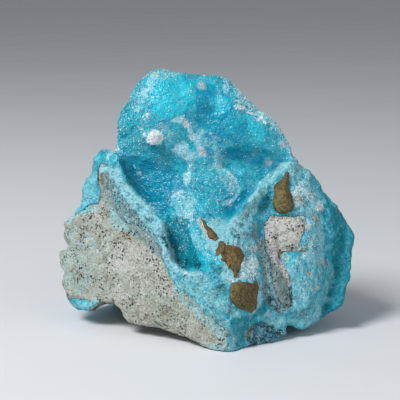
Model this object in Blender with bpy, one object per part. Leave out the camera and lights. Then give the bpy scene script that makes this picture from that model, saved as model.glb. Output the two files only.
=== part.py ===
"""Hemimorphite specimen: a blue crust with an open vug, grown over speckled host rock with four limonite lumps.

The front is drawn on a sketch plane that leans back by LEAN: u runs to the right, v up the plane and
w straight through it, away from the viewer. The object itself stands on z = 0 with its front towards -Y.
All lengths are in millimetres until a mesh is made.
"""

import math

import bmesh
import bpy
import numpy as np
from mathutils import Vector

MM = 0.001
LEAN = math.radians(15)

# Driving dimensions
CRUST = 5.0  # thickness of the blue crust over the host rock
POKE = 4.0  # how far the host rock's form reaches out of the stone where the rock is bare
LUMP_ROOT = 4.5  # how deep a lump is bedded
LUMP_GAP = 0.3  # around each lump
SEAM_GAP = 0.45  # between crust and host rock
MIDDLE = (0.2, 0.75)  # of the stone's box in x and y, moved to zero
GROUND_SIZE = 200.0

# The grid that the surfaces are found on, in u, v, w, and the triangles kept of each
GRID_LOW = (-57.0, -15.0, -43.0)
GRID_HIGH = (57.0, 96.0, 46.0)
CELL = 1.0
NEAREST_CORNER = 0.06  # of an edge: how close to a grid point a surface point may lie
MERGE = 0.02 * MM  # corners closer than this are one
STONE_FACES = 5800
CORE_FACES = 850

# Outline of the whole stone as seen from the front, clockwise from the left end of the vug's edge
OUTLINE = (
    (-31, 64.5), (-30, 71), (-28, 75.5), (-26, 79.5), (-23.5, 83.5), (-21, 87), (-18.5, 89.5),
    (-15, 90.5), (-8, 90.5), (-4, 89.5), (0, 89), (6.5, 86.5), (12.5, 82), (20, 75.5),
    (23.5, 72.5), (27, 69), (29.5, 65), (31, 59.5), (33.5, 56.5), (39, 50), (42.5, 46),
    (48.5, 39.5), (51, 36), (52, 31.5), (52, 27), (50, 15.5), (48.5, 8.5), (45.5, 5), (41.5, 3),
    (37, -0.5), (34, -1.5), (30.5, -0.5), (28, -0.5), (27.5, -3), (24.5, -5), (18, -7), (13, -7.5),
    (10.5, -9), (7.5, -9.5), (4.5, -9.5), (-0.5, -7.5), (-2.5, -6), (-11, -3.5), (-18.5, -1),
    (-22, -0.5), (-25.5, 0.5), (-28.5, 1), (-34.5, 1), (-38.5, 2), (-40.5, 4.5), (-43, 5),
    (-47.5, 7), (-49.5, 12), (-51, 19), (-52, 23), (-51, 25.5), (-49, 27.5), (-49, 30), (-51, 36),
    (-49, 37.5), (-43.5, 41), (-43.5, 47), (-42.5, 50), (-40, 52.5), (-39, 57), (-36.5, 60),
    (-33.5, 60.5), (-31.5, 61),
)

# Rim between the vug and the front slab, from left to right, then closed well outside the stone
RIM = (
    (-35, 63.5), (-31.5, 61), (-29.5, 57), (-29, 53), (-27, 49), (-23.5, 44.5), (-18.5, 39),
    (-14.5, 35), (-13.5, 29.5), (-12.5, 25), (-11, 22), (-9, 19), (-6, 17.5), (-2.5, 17),
    (0.5, 18), (4, 21), (6, 25), (7, 29), (7, 32.5), (9, 35.5), (12, 39.5), (15, 43), (17.5, 46),
    (21, 49), (25, 51.5), (27.5, 55), (30, 58.5), (32.5, 61.5),
    (60, 62), (60, -25), (-65, -25), (-65, 63),
)

# Points on the wall of the vug and the domed top: u, v, w
WALL = (
    ("top edge left", -19.5, 88.5, -12.5),
    ("top edge", -11.5, 90.5, -11),
    ("top edge middle", 0, 88, -10),
    ("top edge right", 9.5, 84, -10),
    ("right edge upper", 18, 77, -10.5),
    ("right edge", 26, 69, -10),
    ("right edge low", 30, 61, -10),
    ("top slope left", -15, 83.5, -16),
    ("top slope right", 6, 80, -13.5),
    ("right slope", 22, 66, -13.5),
    ("left edge upper", -25, 79, -14.5),
    ("left edge low", -30.5, 66.5, -11),
    ("dome upper", -16.5, 76, -17.5),
    ("dome brow", -18.5, 68, -16),
    ("dome right", -9.5, 72.5, -17),
    ("dome chin", -14, 63, -14),
    ("valley upper", -1.5, 78.5, -15.5),
    ("valley middle", 1, 70.5, -13.5),
    ("valley low", 0.5, 62.5, -13),
    ("right lobe upper", 10.5, 73.5, -16),
    ("right lobe", 15.5, 66, -15.5),
    ("right lobe end", 23.5, 61, -13),
    ("under ledge left", 9.5, 57.5, -11),
    ("under ledge right", 20, 55.5, -9.5),
    ("recess left", -25, 56, -9),
    ("recess", -16.5, 52.5, -9.5),
    ("recess middle", -7.5, 53.5, -10.5),
    ("frosted bank", 0.5, 52, -11.5),
    ("frosted bank right", 11, 47, -10.5),
    ("recess right", 17.5, 50, -8),
    ("slope left", -20.5, 45, -9),
    ("slope middle", -12.5, 42.5, -11.5),
    ("pale knob", -7, 41, -15),
    ("slope right", 2.5, 41.5, -14.5),
    ("gutter", 10, 40.5, -11),
    ("pocket head", -12.5, 35.5, -12.5),
    ("pocket middle", -9.5, 29.5, -17),
    ("pocket low", -9.5, 24, -20),
    ("pocket end", -5, 19.5, -22),
    ("ridge head", -3, 33, -19),
    ("ridge flank", -0.5, 26.5, -25),
    ("ridge foot", 0.5, 20.5, -30),
    ("ridge crest", 3.5, 30, -23),
    ("ridge right", 6, 24, -28.5),
)

# Points on the right of the front slab, and a few past its corner edge that keep it ahead of the break
FRONT = (
    ("upper corner", 30.5, 57.5, -12.5),
    ("upper rim", 25, 50.5, -15),
    ("middle rim", 16.5, 43.5, -20),
    ("low rim", 9, 34.5, -25),
    ("low rim face", 12.5, 31, -26),
    ("ridge join", 5.5, 20.5, -31.5),
    ("knuckle", 11, 20.5, -30.5),
    ("shoulder of the big lump", 13.5, 14.5, -32),
    ("big lump", 13, 8.5, -33),
    ("under the big lump", 12, 2.5, -33),
    ("front edge", 10.5, -7.5, -33.5),
    ("corner edge top", -0.5, 15.5, -32.5),
    ("corner edge", 5.5, 8.5, -35),
    ("corner edge low", 9.5, 1.5, -35.5),
    ("valley head", 20.5, 40.5, -14.5),
    ("valley upper", 19.5, 31.5, -18.5),
    ("valley middle", 21, 22, -21.5),
    ("valley low", 22.5, 12, -24),
    ("valley foot", 23, 5, -24.5),
    ("tall lump", 27, 43.5, -16.5),
    ("grey patch", 29.5, 32.5, -19),
    ("valley bank", 26.5, 23, -20),
    ("bank low", 29, 14, -21.5),
    ("lobe upper", 37.5, 44.5, -12.5),
    ("lobe middle", 39.5, 33.5, -13.5),
    ("lobe face", 36, 22.5, -17.5),
    ("lobe low", 34, 12, -20),
    ("lobe lip", 33, 1.5, -19.5),
    ("lobe edge upper", 43.5, 40, -7.5),
    ("lobe edge", 44.5, 27.5, -8.5),
    ("lobe edge low", 42, 11.5, -11.5),
    ("lobe corner", 38.5, 2.5, -14.5),
    ("side upper", 50, 36.5, -2.5),
    ("side", 51, 26.5, -1),
    ("side low", 48, 12, 3),
    ("beyond the corner", -17.5, 23.5, -58),
    ("beyond the corner low", -17.5, -2, -63.5),
    ("far beyond the corner", -40.5, 19, -82.5),
)

# The broken face on the left: a flat break through the front foot, turned to the left and leaning back
BREAK_FOOT = Vector((6.7, -37.5, 0.0))
BREAK_TURN = math.radians(33.5)
BREAK_LEAN = math.radians(8)

# Where the host rock is bare, on the sketch plane: the broken face and a patch beside the right lobe
BARE_FACE = (
    (-56, 36), (-46, 39), (-40.5, 41.5), (-37.5, 44), (-37.5, 53), (-36.5, 56), (-34.5, 53),
    (-34, 47.5), (-30.5, 42), (-27, 35), (-20.5, 31.5), (-16.5, 27.5), (-14.5, 22.5),
    (-11.5, 16.5), (-8.5, 12.5), (-2.5, 8.5), (1.5, 2.5), (6.5, -2.5), (7.5, -7.5), (6.5, -14),
    (-5, -14), (-25.5, -10), (-41.5, -4), (-42, 4), (-37.5, 7), (-40, 8), (-47.5, 8), (-56, 11.5),
)
BARE_PATCH = (
    (22, 36.5), (25, 38), (29.5, 37.5), (34, 36.5), (33.5, 29.5), (32, 26), (26.5, 25), (26, 22),
    (28, 17.5), (29, 7.5), (26.5, 6.5), (23.5, 14), (21.5, 23), (20, 30),
)
BARE_DEPTH = 9.0  # how far behind the front the bare areas go
BARE_UNDER = 49.0  # the same below the broken face, so that the underside is bare too
UNDER_FROM, UNDER_TO = 6.0, 10.0  # v between the two
# Seen from behind, in x and z: the crust has broken off the middle of the back, behind BACK_FROM in y
BARE_BACK = (
    (-34, 6), (-38, 22), (-30, 40), (-20, 52), (-6, 58), (6, 50), (20, 46), (31, 34), (34, 18),
    (26, 6), (10, -4), (-20, -4),
)
BACK_FROM = 6.0

# Steps across the surface, seen from the front: line, drop below it, reach of the drop
LEDGES = (
    ("under the right lobe", ((5, 59.5), (12, 61.5), (19, 61), (25, 59)), 1.8, 9.0),
    ("under the grey patch", ((26, 25.5), (30, 26.5), (34.5, 26)), 1.5, 6.0),
)
LEDGE_EDGE = 0.7  # half the height over which a ledge drops
LEDGE_END = 2.0  # half the length over which it fades in or out
LEDGE_FULL = 0.4  # part of its reach over which it stays at its full depth
# Cracks: line, half width, depth
CRACKS = (
    ("beside the grey patch", ((24.5, 27.5), (27, 20), (28.5, 12), (29.5, 6)), 1.0, 1.6),
    ("in the dark wedge", ((16.5, 1), (14, -2.5), (12.5, -6)), 1.0, 1.5),
    ("along the right lobe", ((40, 45.5), (43, 39), (43.5, 29), (43, 20), (41.5, 9), (40, 3)), 1.2, 1.2),
)
# Pits: u, v, radius, depth
PITS = (
    ("in the low rim", 10, 30.5, 1.2, 1.8),
    ("beside the large lump", 5.5, 10.5, 2.0, 2.0),
)

# Lumps of limonite: outline on the sketch plane, how far out the lump stands, its front's lean in u and v
LUMPS = {
    "limonite_large": (
        ((8.5, 13.5), (12, 14.5), (18, 14.5), (18.5, 11), (18, 7.5), (17.5, 5), (15.5, 3.5),
         (13.5, 4), (10.5, 5), (8, 7.5), (8, 10)), 2.6, (0.12, -0.10)),
    "limonite_tall": (
        ((26.5, 51.5), (28, 51), (29, 47.5), (30.5, 43.5), (31, 40), (30, 38.5), (27.5, 38),
         (26, 37.5), (24.5, 38.5), (23.5, 41.5), (23.5, 45), (23.5, 48.5)), 3.4, (-0.15, 0.10)),
    "limonite_middle": (
        ((6, 27.5), (9, 27.5), (12, 26), (13.5, 23), (12, 20), (11, 16.5), (10, 17), (7.5, 19),
         (4.5, 21), (3.5, 23.5), (4.5, 26.5)), 2.4, (0.10, -0.15)),
    "limonite_small": (
        ((-1, 35), (0.5, 34), (2.5, 32.5), (4.5, 30.5), (5, 29), (3.5, 28), (1.5, 29),
         (0.5, 31.5)), 1.6, (0.0, 0.0)),
}
# Rings of a lump's corners above its root: size of the outline there, and how far out it is
LUMP_RINGS = ((1.0, 0.0), (0.86, 0.62), (0.5, 1.0))
LUMP_ROOT_SIZE = 0.72  # size of the outline at the root
LUMP_CHIP = 0.35  # the most that a corner is chipped back
FLAT_WITHIN = math.radians(4)  # facets of a lump closer than this are one face

BALL = (-18.5, 65.0, -15.8)  # u, v, w of a round white growth on the brow of the dome
BALL_RADIUS = 2.6

# Hollows of the underside, as ellipsoids in x, y, z: middle and radii
ARCH = ((-33.0, -6.0, 2.0), (7.5, 13.0, 7.5))
BELLY = ((0.0, -3.0, -9.0), (30.0, 24.0, 11.8))

# Flat breaks that shape the back: outward direction in x, y, z and a point on each
BACK = (
    ((0.0, 1.0, 0.22), (0.0, 37.0, 20.0)),
    ((-0.75, 0.8, 0.12), (-37.0, 25.0, 25.0)),
    ((0.62, 0.8, 0.05), (40.0, 27.0, 22.0)),
    ((0.1, 0.85, -0.5), (0.0, 30.0, 3.0)),
    ((0.0, 0.6, 0.8), (-5.0, 22.0, 91.0)),
    ((0.55, 0.55, 0.6), (28.0, 20.0, 68.0)),
    ((-0.75, 0.5, 0.4), (-35.0, 17.0, 68.0)),
)

# How much the meeting of two surfaces is rounded
RIM_ROUND = 1.3
VUG_ROUND = 1.9
EDGE_ROUND_LOW, EDGE_ROUND_HIGH = 1.2, 3.7  # at the foot and at the top
EDGE_FROM, EDGE_TO = 20.0, 60.0  # v between the two
BACK_ROUND = 6.0
SHOULDER_ROUND = 4.0
HOLLOW_ROUND = 1.5
BALL_ROUND = 0.6
SIDE_TAPER = 0.3  # how fast the sides close in towards the back
TAPER_FROM = 4.0  # depth at which they start to
WALL_RETREAT = 2.0  # distance outside the vug after which its wall drops behind the front

# Roughness: size of a wave or knob, its height, and the number that fixes its pattern
KNOBS_FRONT = (7.0, 0.7, 3)
KNOBS_BACK = (11.0, 2.4, 5)
KNOBS_SUNK = (0.35, 1.15)  # how deep they sit in the front and in the back, so that the size stays
KNOB_SCATTER, KNOB_SPREAD = 0.7, 0.75  # unevenness of their places, and how flat they run out
BREAKS = ((9.0, 0.9, 7), (4.2, 0.5, 8))
TERRACES = (13.0, 0.35, 9)
TERRACE_STEPS = 3
BREAKS_FRONT, BREAKS_BACK = 0.6, 1.7
RAGGED = (6.0, 1.3, 21)  # waves of the bare areas' borders
BORDER = 0.8  # half the width of a border
BREAK_STARTS = (-0.5, 1.0)  # distances inside a border between which the breaks reach their full height
BACK_STARTS = (-2.0, 8.0)  # y between which the front's roughness turns into the back's
NEAR = 5.0  # roughness is only worked out this close to the surface

COLOURS = {
    "host_rock": ((0.38, 0.40, 0.33), 0.9),
    "hemimorphite": ((0.05, 0.42, 0.55), 0.35),
    "limonite": ((0.16, 0.12, 0.04), 0.7),
}


def sketch_to_object(u, v, w):
    """x, y, z of a place on or behind the sketch plane."""
    return u, w * math.cos(LEAN) + v * math.sin(LEAN), v * math.cos(LEAN) - w * math.sin(LEAN)


def centred(points):
    """The same, for rows of u, v, w, with the middle of the stone's box over the origin."""
    x, y, z = sketch_to_object(points[:, 0], points[:, 1], points[:, 2])
    return np.stack([x - MIDDLE[0], y - MIDDLE[1], z], axis=-1)


def smooth_max(a, b, width):
    blend = np.maximum(width - np.abs(a - b), 0.0)
    return np.maximum(a, b) + blend * blend / (4 * width)


def smooth_min(a, b, width):
    return -smooth_max(-a, -b, width)


def ramp(value, low, high):
    """0 below low, 1 above high, smooth in between."""
    t = np.clip((value - low) / (high - low), 0.0, 1.0)
    return t * t * (3 - 2 * t)


def rounded(points, steps):
    """A closed outline drawn through its points as a smooth curve."""
    p = np.asarray(points, float)
    before, after, beyond = (np.roll(p, shift, axis=0) for shift in (1, -1, -2))
    stretch = []
    for t in np.arange(steps) / steps:
        bend = (2 * before - 5 * p + 4 * after - beyond) * t ** 2
        twist = (3 * p - before - 3 * after + beyond) * t ** 3
        stretch.append(0.5 * (2 * p + (after - before) * t + bend + twist))
    return np.stack(stretch, axis=1).reshape(-1, 2)


def line_distance(points, u, v, closed=False):
    """Distance to a line of points; negative inside, for a closed one."""
    p = np.asarray(points, float)
    ends = np.roll(p, -1, axis=0) if closed else p[1:]
    nearest = np.full(u.shape, np.inf)
    inside = np.zeros(u.shape, bool)
    for (ax, ay), (bx, by) in zip(p, ends):
        ex, ey = bx - ax, by - ay
        t = np.clip(((u - ax) * ex + (v - ay) * ey) / (ex * ex + ey * ey), 0.0, 1.0)
        nearest = np.minimum(nearest, (u - ax - t * ex) ** 2 + (v - ay - t * ey) ** 2)
        if closed and ay != by:
            inside ^= ((ay > v) != (by > v)) & (u < ax + (v - ay) * ex / ey)
    return np.where(inside, -1.0, 1.0) * np.sqrt(nearest)


def inside_outline(points, steps, u, v):
    """Distance to a rounded outline, negative inside."""
    return line_distance(rounded(points, steps), u, v, closed=True)


def sheet(points, ease=2.0):
    """A smooth surface w(u, v) close to named points: a thin plate bent over them."""
    p = np.array([row[1:] for row in points], float)
    count = len(p)
    span = np.hypot(p[:, None, 0] - p[None, :, 0], p[:, None, 1] - p[None, :, 1])
    system = np.zeros((count + 3, count + 3))
    system[:count, :count] = span ** 2 * np.log(span + 1e-9) + ease * np.eye(count)
    system[:count, count] = system[count, :count] = 1
    system[:count, count + 1:] = p[:, :2]
    system[count + 1:, :count] = p[:, :2].T
    weights = np.linalg.solve(system, np.append(p[:, 2], np.zeros(3)))

    def height(u, v):
        total = weights[count] + weights[count + 1] * u + weights[count + 2] * v
        for (pu, pv, _), weight in zip(p, weights):
            square = (u - pu) ** 2 + (v - pv) ** 2
            total = total + weight * 0.5 * square * np.log(square + 1e-9)
        return total

    return height


def scatter(cell, seed):
    """Three even random numbers from 0 to 1 for each whole-numbered cell, always the same ones."""
    n = cell.astype(np.int64)
    mixed = (n[..., 0] * 73856093) ^ (n[..., 1] * 19349663) ^ (n[..., 2] * 83492791) ^ (seed * 2654435761)
    out = []
    for k in range(3):
        h = (mixed + k * 1013904223) & 0xFFFFFFFF
        h = ((h ^ (h >> 16)) * 0x45D9F3B) & 0xFFFFFFFF
        h = ((h ^ (h >> 16)) * 0x45D9F3B) & 0xFFFFFFFF
        out.append(((h ^ (h >> 16)) & 0xFFFFFF) / 0xFFFFFF)
    return np.stack(out, axis=-1)


def waves(place, size, height, seed):
    """Soft random waves of the given size, from about -height to height."""
    q = place / size
    low = np.floor(q)
    t = q - low
    t = t * t * (3 - 2 * t)
    total = np.zeros(place.shape[:-1])
    for corner in np.ndindex(2, 2, 2):
        c = np.array(corner)
        weight = np.prod(np.where(c == 1, t, 1 - t), axis=-1)
        total += weight * scatter(low + c, seed)[..., 0]
    return height * (2 * total - 1)


def knobs(place, size, height, seed):
    """Round knobs packed like grapes: height at the middle of a knob, 0 in the seams."""
    q = place / size
    low = np.floor(q)
    nearest = np.full(place.shape[:-1], np.inf)
    for corner in np.ndindex(3, 3, 3):
        cell = low + np.array(corner) - 1
        middle = cell + 0.5 + KNOB_SCATTER * (scatter(cell, seed) - 0.5)
        nearest = np.minimum(nearest, ((q - middle) ** 2).sum(axis=-1))
    return height * np.clip(1 - nearest / KNOB_SPREAD, 0.0, 1.0)


def broken_face(u, v):
    """w of the flat break on the left."""
    nx = -math.sin(BREAK_TURN) * math.cos(BREAK_LEAN)
    ny = -math.cos(BREAK_TURN) * math.cos(BREAK_LEAN)
    nz = math.sin(BREAK_LEAN)
    x, y, z = sketch_to_object(u, v, 0.0)
    offset = nx * (x - BREAK_FOOT.x) + ny * (y - BREAK_FOOT.y) + nz * (z - BREAK_FOOT.z)
    return -offset / (ny * math.cos(LEAN) - nz * math.sin(LEAN))


def small_relief(u, v):
    """Ledges, cracks and pits of the front, as added depth."""
    depth = np.zeros(u.shape)
    for _, line, drop, reach in LEDGES:
        left, right = line[0][0], line[-1][0]
        below = np.interp(u, *zip(*line)) - v
        along = ramp(u, left - LEDGE_END, left + LEDGE_END)
        along = along * ramp(-u, -right - LEDGE_END, LEDGE_END - right)
        stretch = ramp(below, -LEDGE_EDGE, LEDGE_EDGE) - ramp(below, LEDGE_FULL * reach, reach)
        depth += drop * along * stretch
    for _, line, half_width, deep in CRACKS:
        depth += deep * np.exp(-(line_distance(line, u, v) / half_width) ** 2)
    for _, pu, pv, radius, deep in PITS:
        depth += deep * np.exp(-((u - pu) ** 2 + (v - pv) ** 2) / radius ** 2)
    return depth


def front_surfaces(u, v):
    """w of the vug's wall and of the front slab, and the distance from the slab's rim, negative on the slab."""
    slab = inside_outline(RIM, 2, u, v)
    wall = sheet(WALL)(u, v) + np.maximum(-slab - WALL_RETREAT, 0.0)
    face = np.maximum(broken_face(u, v), sheet(FRONT)(u, v))
    return wall, face, slab


def back_surface(x, y, z):
    """The back's flat breaks run together: negative in front of them."""
    back = None
    for outward, place in BACK:
        n = Vector(outward).normalized()
        plane = n.x * (x - place[0]) + n.y * (y - place[1]) + n.z * (z - place[2])
        back = plane if back is None else smooth_max(back, plane, BACK_ROUND)
    return back


def ellipsoid(x, y, z, middle, radii):
    """Negative inside, about the distance in millimetres near its surface."""
    q = np.sqrt(sum(((a - m) / r) ** 2 for a, m, r in zip((x, y, z), middle, radii)))
    return (q - 1) * min(radii)


def stone_fields():
    """Values on the grid, negative inside: the whole rough stone, and the form of the host rock within it."""
    u1, v1, w1 = (np.arange(low, high + CELL, CELL) for low, high in zip(GRID_LOW, GRID_HIGH))
    u, v = np.meshgrid(u1, v1, indexing="ij")
    wall, face, slab = front_surfaces(u, v)
    relief = small_relief(u, v)
    side = inside_outline(OUTLINE, 3, u, v)
    bare_front = np.minimum(inside_outline(BARE_FACE, 3, u, v), inside_outline(BARE_PATCH, 3, u, v))
    edge_round = EDGE_ROUND_LOW + (EDGE_ROUND_HIGH - EDGE_ROUND_LOW) * ramp(v, EDGE_FROM, EDGE_TO)
    bare_reach = BARE_DEPTH + (BARE_UNDER - BARE_DEPTH) * (1 - ramp(v, UNDER_FROM, UNDER_TO))
    stones, cores = [], []
    for level in w1:
        w = np.full(u.shape, level)
        x, y, z = sketch_to_object(u, v, w)
        front = smooth_min(wall + relief - w, smooth_max(face + relief - w, slab, RIM_ROUND), VUG_ROUND)
        tapered = side + SIDE_TAPER * np.maximum(-front - TAPER_FROM, 0.0)
        whole = smooth_max(smooth_max(front, tapered, edge_round), back_surface(x, y, z), SHOULDER_ROUND)
        hollowed = whole
        for middle, radii in (ARCH, BELLY):
            hollowed = smooth_max(hollowed, -ellipsoid(x, y, z, middle, radii), HOLLOW_ROUND)
        bare_back = np.maximum(inside_outline(BARE_BACK, 4, x, z), BACK_FROM - y)
        bare = np.minimum(np.maximum(bare_front, w - face - bare_reach), bare_back)
        near = np.abs(hollowed) < NEAR
        place = np.stack([x[near], y[near], z[near]], axis=-1)
        bare[near] += waves(place, *RAGGED)
        rough = hollowed.copy()
        rough[near] += roughness(place, bare[near])
        ball = np.sqrt(sum((a - b) ** 2 for a, b in zip((u, v, w), BALL))) - BALL_RADIUS
        stones.append(smooth_min(rough, ball, BALL_ROUND))
        cores.append(whole - POKE + (CRUST + POKE) * ramp(bare, -BORDER, BORDER))
    return softened(np.stack(stones, axis=-1), 1), softened(np.stack(cores, axis=-1), 3)


def roughness(place, bare):
    """What is taken off the surface: jagged breaks on bare rock, knobs standing out of the crust."""
    broken = ramp(-bare, *BREAK_STARTS)
    behind = ramp(place[:, 1], *BACK_STARTS)
    grown = knobs(place, *KNOBS_FRONT) * (1 - behind) + knobs(place, *KNOBS_BACK) * behind
    sunk = KNOBS_SUNK[0] + (KNOBS_SUNK[1] - KNOBS_SUNK[0]) * behind
    jagged = sum(waves(place, *wave) for wave in BREAKS)
    size, height, seed = TERRACES
    jagged += height * np.round(waves(place, size, TERRACE_STEPS, seed))
    jagged = jagged * (BREAKS_FRONT + (BREAKS_BACK - BREAKS_FRONT) * behind)
    return broken * jagged - (1 - broken) * (grown - sunk)


def softened(field, times):
    """The same values, each averaged with its neighbours."""
    for _ in range(times):
        for axis in range(3):
            field = 0.5 * field + 0.25 * (np.roll(field, 1, axis=axis) + np.roll(field, -1, axis=axis))
    return field


def surface_of(field):
    """Points and triangles of the closed surface where the values change sign, from six tetrahedra a cell."""
    inside = field < 0
    cells = tuple(n - 1 for n in field.shape)
    count = np.zeros(cells, int)
    for i, j, k in np.ndindex(2, 2, 2):
        count += inside[i:i + cells[0], j:j + cells[1], k:k + cells[2]]
    first = np.argwhere((count > 0) & (count < 8))
    strides = np.array([field.shape[1] * field.shape[2], field.shape[2], 1])
    values = field.ravel()
    faces = []
    for a, b, c in ((0, 1, 2), (0, 2, 1), (1, 0, 2), (1, 2, 0), (2, 0, 1), (2, 1, 0)):
        corner = (first @ strides)[:, None] + np.cumsum([0, strides[a], strides[b], strides[c]])
        negative = values[corner] < 0
        for lone in range(4):
            rest = [n for n in range(4) if n != lone]
            alone = (negative[:, [lone]] != negative[:, rest]).all(axis=1)
            faces.append([corner[alone][:, [lone, other]] for other in rest])
        for mate in (1, 2, 3):
            one, two = [n for n in (1, 2, 3) if n != mate]
            paired = (negative[:, 0] == negative[:, mate]) & (negative[:, one] == negative[:, two])
            paired &= negative[:, 0] != negative[:, one]
            ends = [corner[paired][:, pair] for pair in ([0, one], [0, two], [mate, two], [mate, one])]
            faces.append(ends[:3])
            faces.append([ends[0], ends[2], ends[3]])
    edges = np.concatenate([np.stack(face, axis=1) for face in faces])
    keys, number = np.unique(np.sort(edges.reshape(-1, 2), axis=1), axis=0, return_inverse=True)
    one, two = values[keys[:, 0]], values[keys[:, 1]]
    t = np.clip(one / (one - two), NEAREST_CORNER, 1 - NEAREST_CORNER)[:, None]
    start, end = (np.stack(np.unravel_index(keys[:, n], field.shape), axis=-1) for n in (0, 1))
    return np.array(GRID_LOW) + CELL * (start + t * (end - start)), number.reshape(-1, 3)


def material(name):
    colour, roughness_value = COLOURS[name]
    made = bpy.data.materials.new(name)
    made.use_nodes = True
    shader = made.node_tree.nodes["Principled BSDF"]
    shader.inputs["Base Color"].default_value = (*colour, 1.0)
    shader.inputs["Roughness"].default_value = roughness_value
    made.diffuse_color = (*colour, 1.0)
    return made


def add_object(name, mesh, look=None):
    """An object of the mesh; without a look it is a cutter."""
    made = bpy.data.objects.new(name, mesh)
    bpy.context.scene.collection.objects.link(made)
    mesh.materials.clear()
    if look:
        mesh.materials.append(look)
    else:
        made.hide_render = True
        made.display_type = "WIRE"
    return made


def mesh_of(name, points, faces):
    """A mesh with its faces turned outwards, from points in millimetres."""
    mesh = bpy.data.meshes.new(name)
    mesh.from_pydata((np.asarray(points) * MM).tolist(), [], [tuple(int(i) for i in face) for face in faces])
    bm = bmesh.new()
    bm.from_mesh(mesh)
    bmesh.ops.recalc_face_normals(bm, faces=bm.faces)
    bm.to_mesh(mesh)
    bm.free()
    return mesh


def keep_largest(bm):
    """Leaves only the piece with the most faces."""
    unseen = set(bm.faces)
    pieces = []
    while unseen:
        waiting = [unseen.pop()]
        piece = []
        while waiting:
            face = waiting.pop()
            piece.append(face)
            beside = {other for edge in face.edges for other in edge.link_faces} & unseen
            unseen -= beside
            waiting.extend(beside)
        pieces.append(piece)
    pieces.sort(key=len)
    spare = [face for piece in pieces[:-1] for face in piece]
    bmesh.ops.delete(bm, geom=spare, context="FACES")
    bmesh.ops.delete(bm, geom=[v for v in bm.verts if not v.link_faces], context="VERTS")


def settle(made):
    """Applies the object's modifiers, then cleans its mesh: one piece, no corners closer than MERGE."""
    view = bpy.context.evaluated_depsgraph_get()
    mesh = bpy.data.meshes.new_from_object(made.evaluated_get(view))
    made.modifiers.clear()
    made.data = mesh
    bm = bmesh.new()
    bm.from_mesh(mesh)
    bmesh.ops.remove_doubles(bm, verts=bm.verts, dist=MERGE)
    bmesh.ops.dissolve_degenerate(bm, dist=MERGE, edges=bm.edges)
    keep_largest(bm)
    bmesh.ops.triangulate(bm, faces=bm.faces)
    bm.to_mesh(mesh)
    bm.free()


def is_closed(mesh):
    """Whether every edge joins exactly two faces."""
    used = np.zeros(len(mesh.loops), np.int32)
    mesh.loops.foreach_get("edge_index", used)
    return bool((np.bincount(used, minlength=len(mesh.edges)) == 2).all())


def reduce(made, faces):
    """Merges flat stretches until about this many triangles are left, or a few more where that would pinch."""
    full = made.data
    for more in range(20):
        made.data = full.copy()
        modifier = made.modifiers.new("fewer faces", "DECIMATE")
        modifier.ratio = faces * (1 + 0.004 * more) / len(full.polygons)
        settle(made)
        if is_closed(made.data):
            return
    raise RuntimeError(f"{made.name} stays pinched")


def combine(made, other, operation, crosses_itself=False):
    modifier = made.modifiers.new(operation.lower(), "BOOLEAN")
    modifier.operation = operation
    modifier.object = other
    modifier.solver = "EXACT"
    modifier.use_self = crosses_itself


def push_out(made, distance):
    """Moves each face of a closed form outwards by about this distance."""
    bm = bmesh.new()
    bm.from_mesh(made.data)
    bm.normal_update()
    for v in bm.verts:
        v.co += v.normal * min(v.calc_shell_factor(), 2.0) * distance * MM
    bm.to_mesh(made.data)
    bm.free()


def make_stone():
    """Crust and host rock, parted along the host rock's own form, and cut flat where the stone stands."""
    stone, core = stone_fields()
    points, faces = surface_of(stone)
    crust = add_object("hemimorphite_crust", mesh_of("stone", centred(points), faces), material("hemimorphite"))
    reduce(crust, STONE_FACES)
    combine(crust, ground(), "DIFFERENCE")
    settle(crust)
    points, faces = surface_of(core)
    inner = add_object("host_rock_form", mesh_of("core", centred(points), faces))
    reduce(inner, CORE_FACES)
    room = add_object("host_rock_room", inner.data.copy())
    push_out(room, SEAM_GAP)
    matrix = add_object("matrix", crust.data.copy(), material("host_rock"))
    combine(matrix, inner, "INTERSECT")
    combine(crust, room, "DIFFERENCE", crosses_itself=True)
    combine(crust, inner, "DIFFERENCE")
    return crust, matrix


def ground():
    """A block below z = 0."""
    bm = bmesh.new()
    bmesh.ops.create_cube(bm, size=GROUND_SIZE * MM)
    bmesh.ops.translate(bm, verts=bm.verts, vec=(0, 0, -0.5 * GROUND_SIZE * MM))
    mesh = bpy.data.meshes.new("ground")
    bm.to_mesh(mesh)
    bm.free()
    return add_object("ground", mesh)


def lump_corners(outline, stands_out, lean):
    """Corners of a broken lump, in u, v, w: bedded behind the surface and coming to a smaller tilted front."""
    p = np.array(outline, float)
    middle = p.mean(axis=0)
    wall, face, slab = front_surfaces(p[:, 0], p[:, 1])
    surface = np.where(slab < 0, np.minimum(face, wall), wall)
    fitted = np.linalg.lstsq(np.column_stack([p - middle, np.ones(len(p))]), surface, rcond=None)[0]
    root = middle + (p - middle) * LUMP_ROOT_SIZE
    corners = [np.column_stack([root, fitted[2] + (root - middle) @ fitted[:2] + LUMP_ROOT])]
    for scale, stand in LUMP_RINGS:
        q = middle + (p - middle) * scale
        chip = 1 - LUMP_CHIP * scatter(np.column_stack([np.round(2 * q), np.full(len(q), stand)]), 11)[:, 0]
        tilt = (q - middle) @ (fitted[:2] + np.array(lean) * (stand > 0))
        corners.append(np.column_stack([q, fitted[2] + tilt - stands_out * stand * chip]))
    return np.concatenate(corners)


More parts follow.
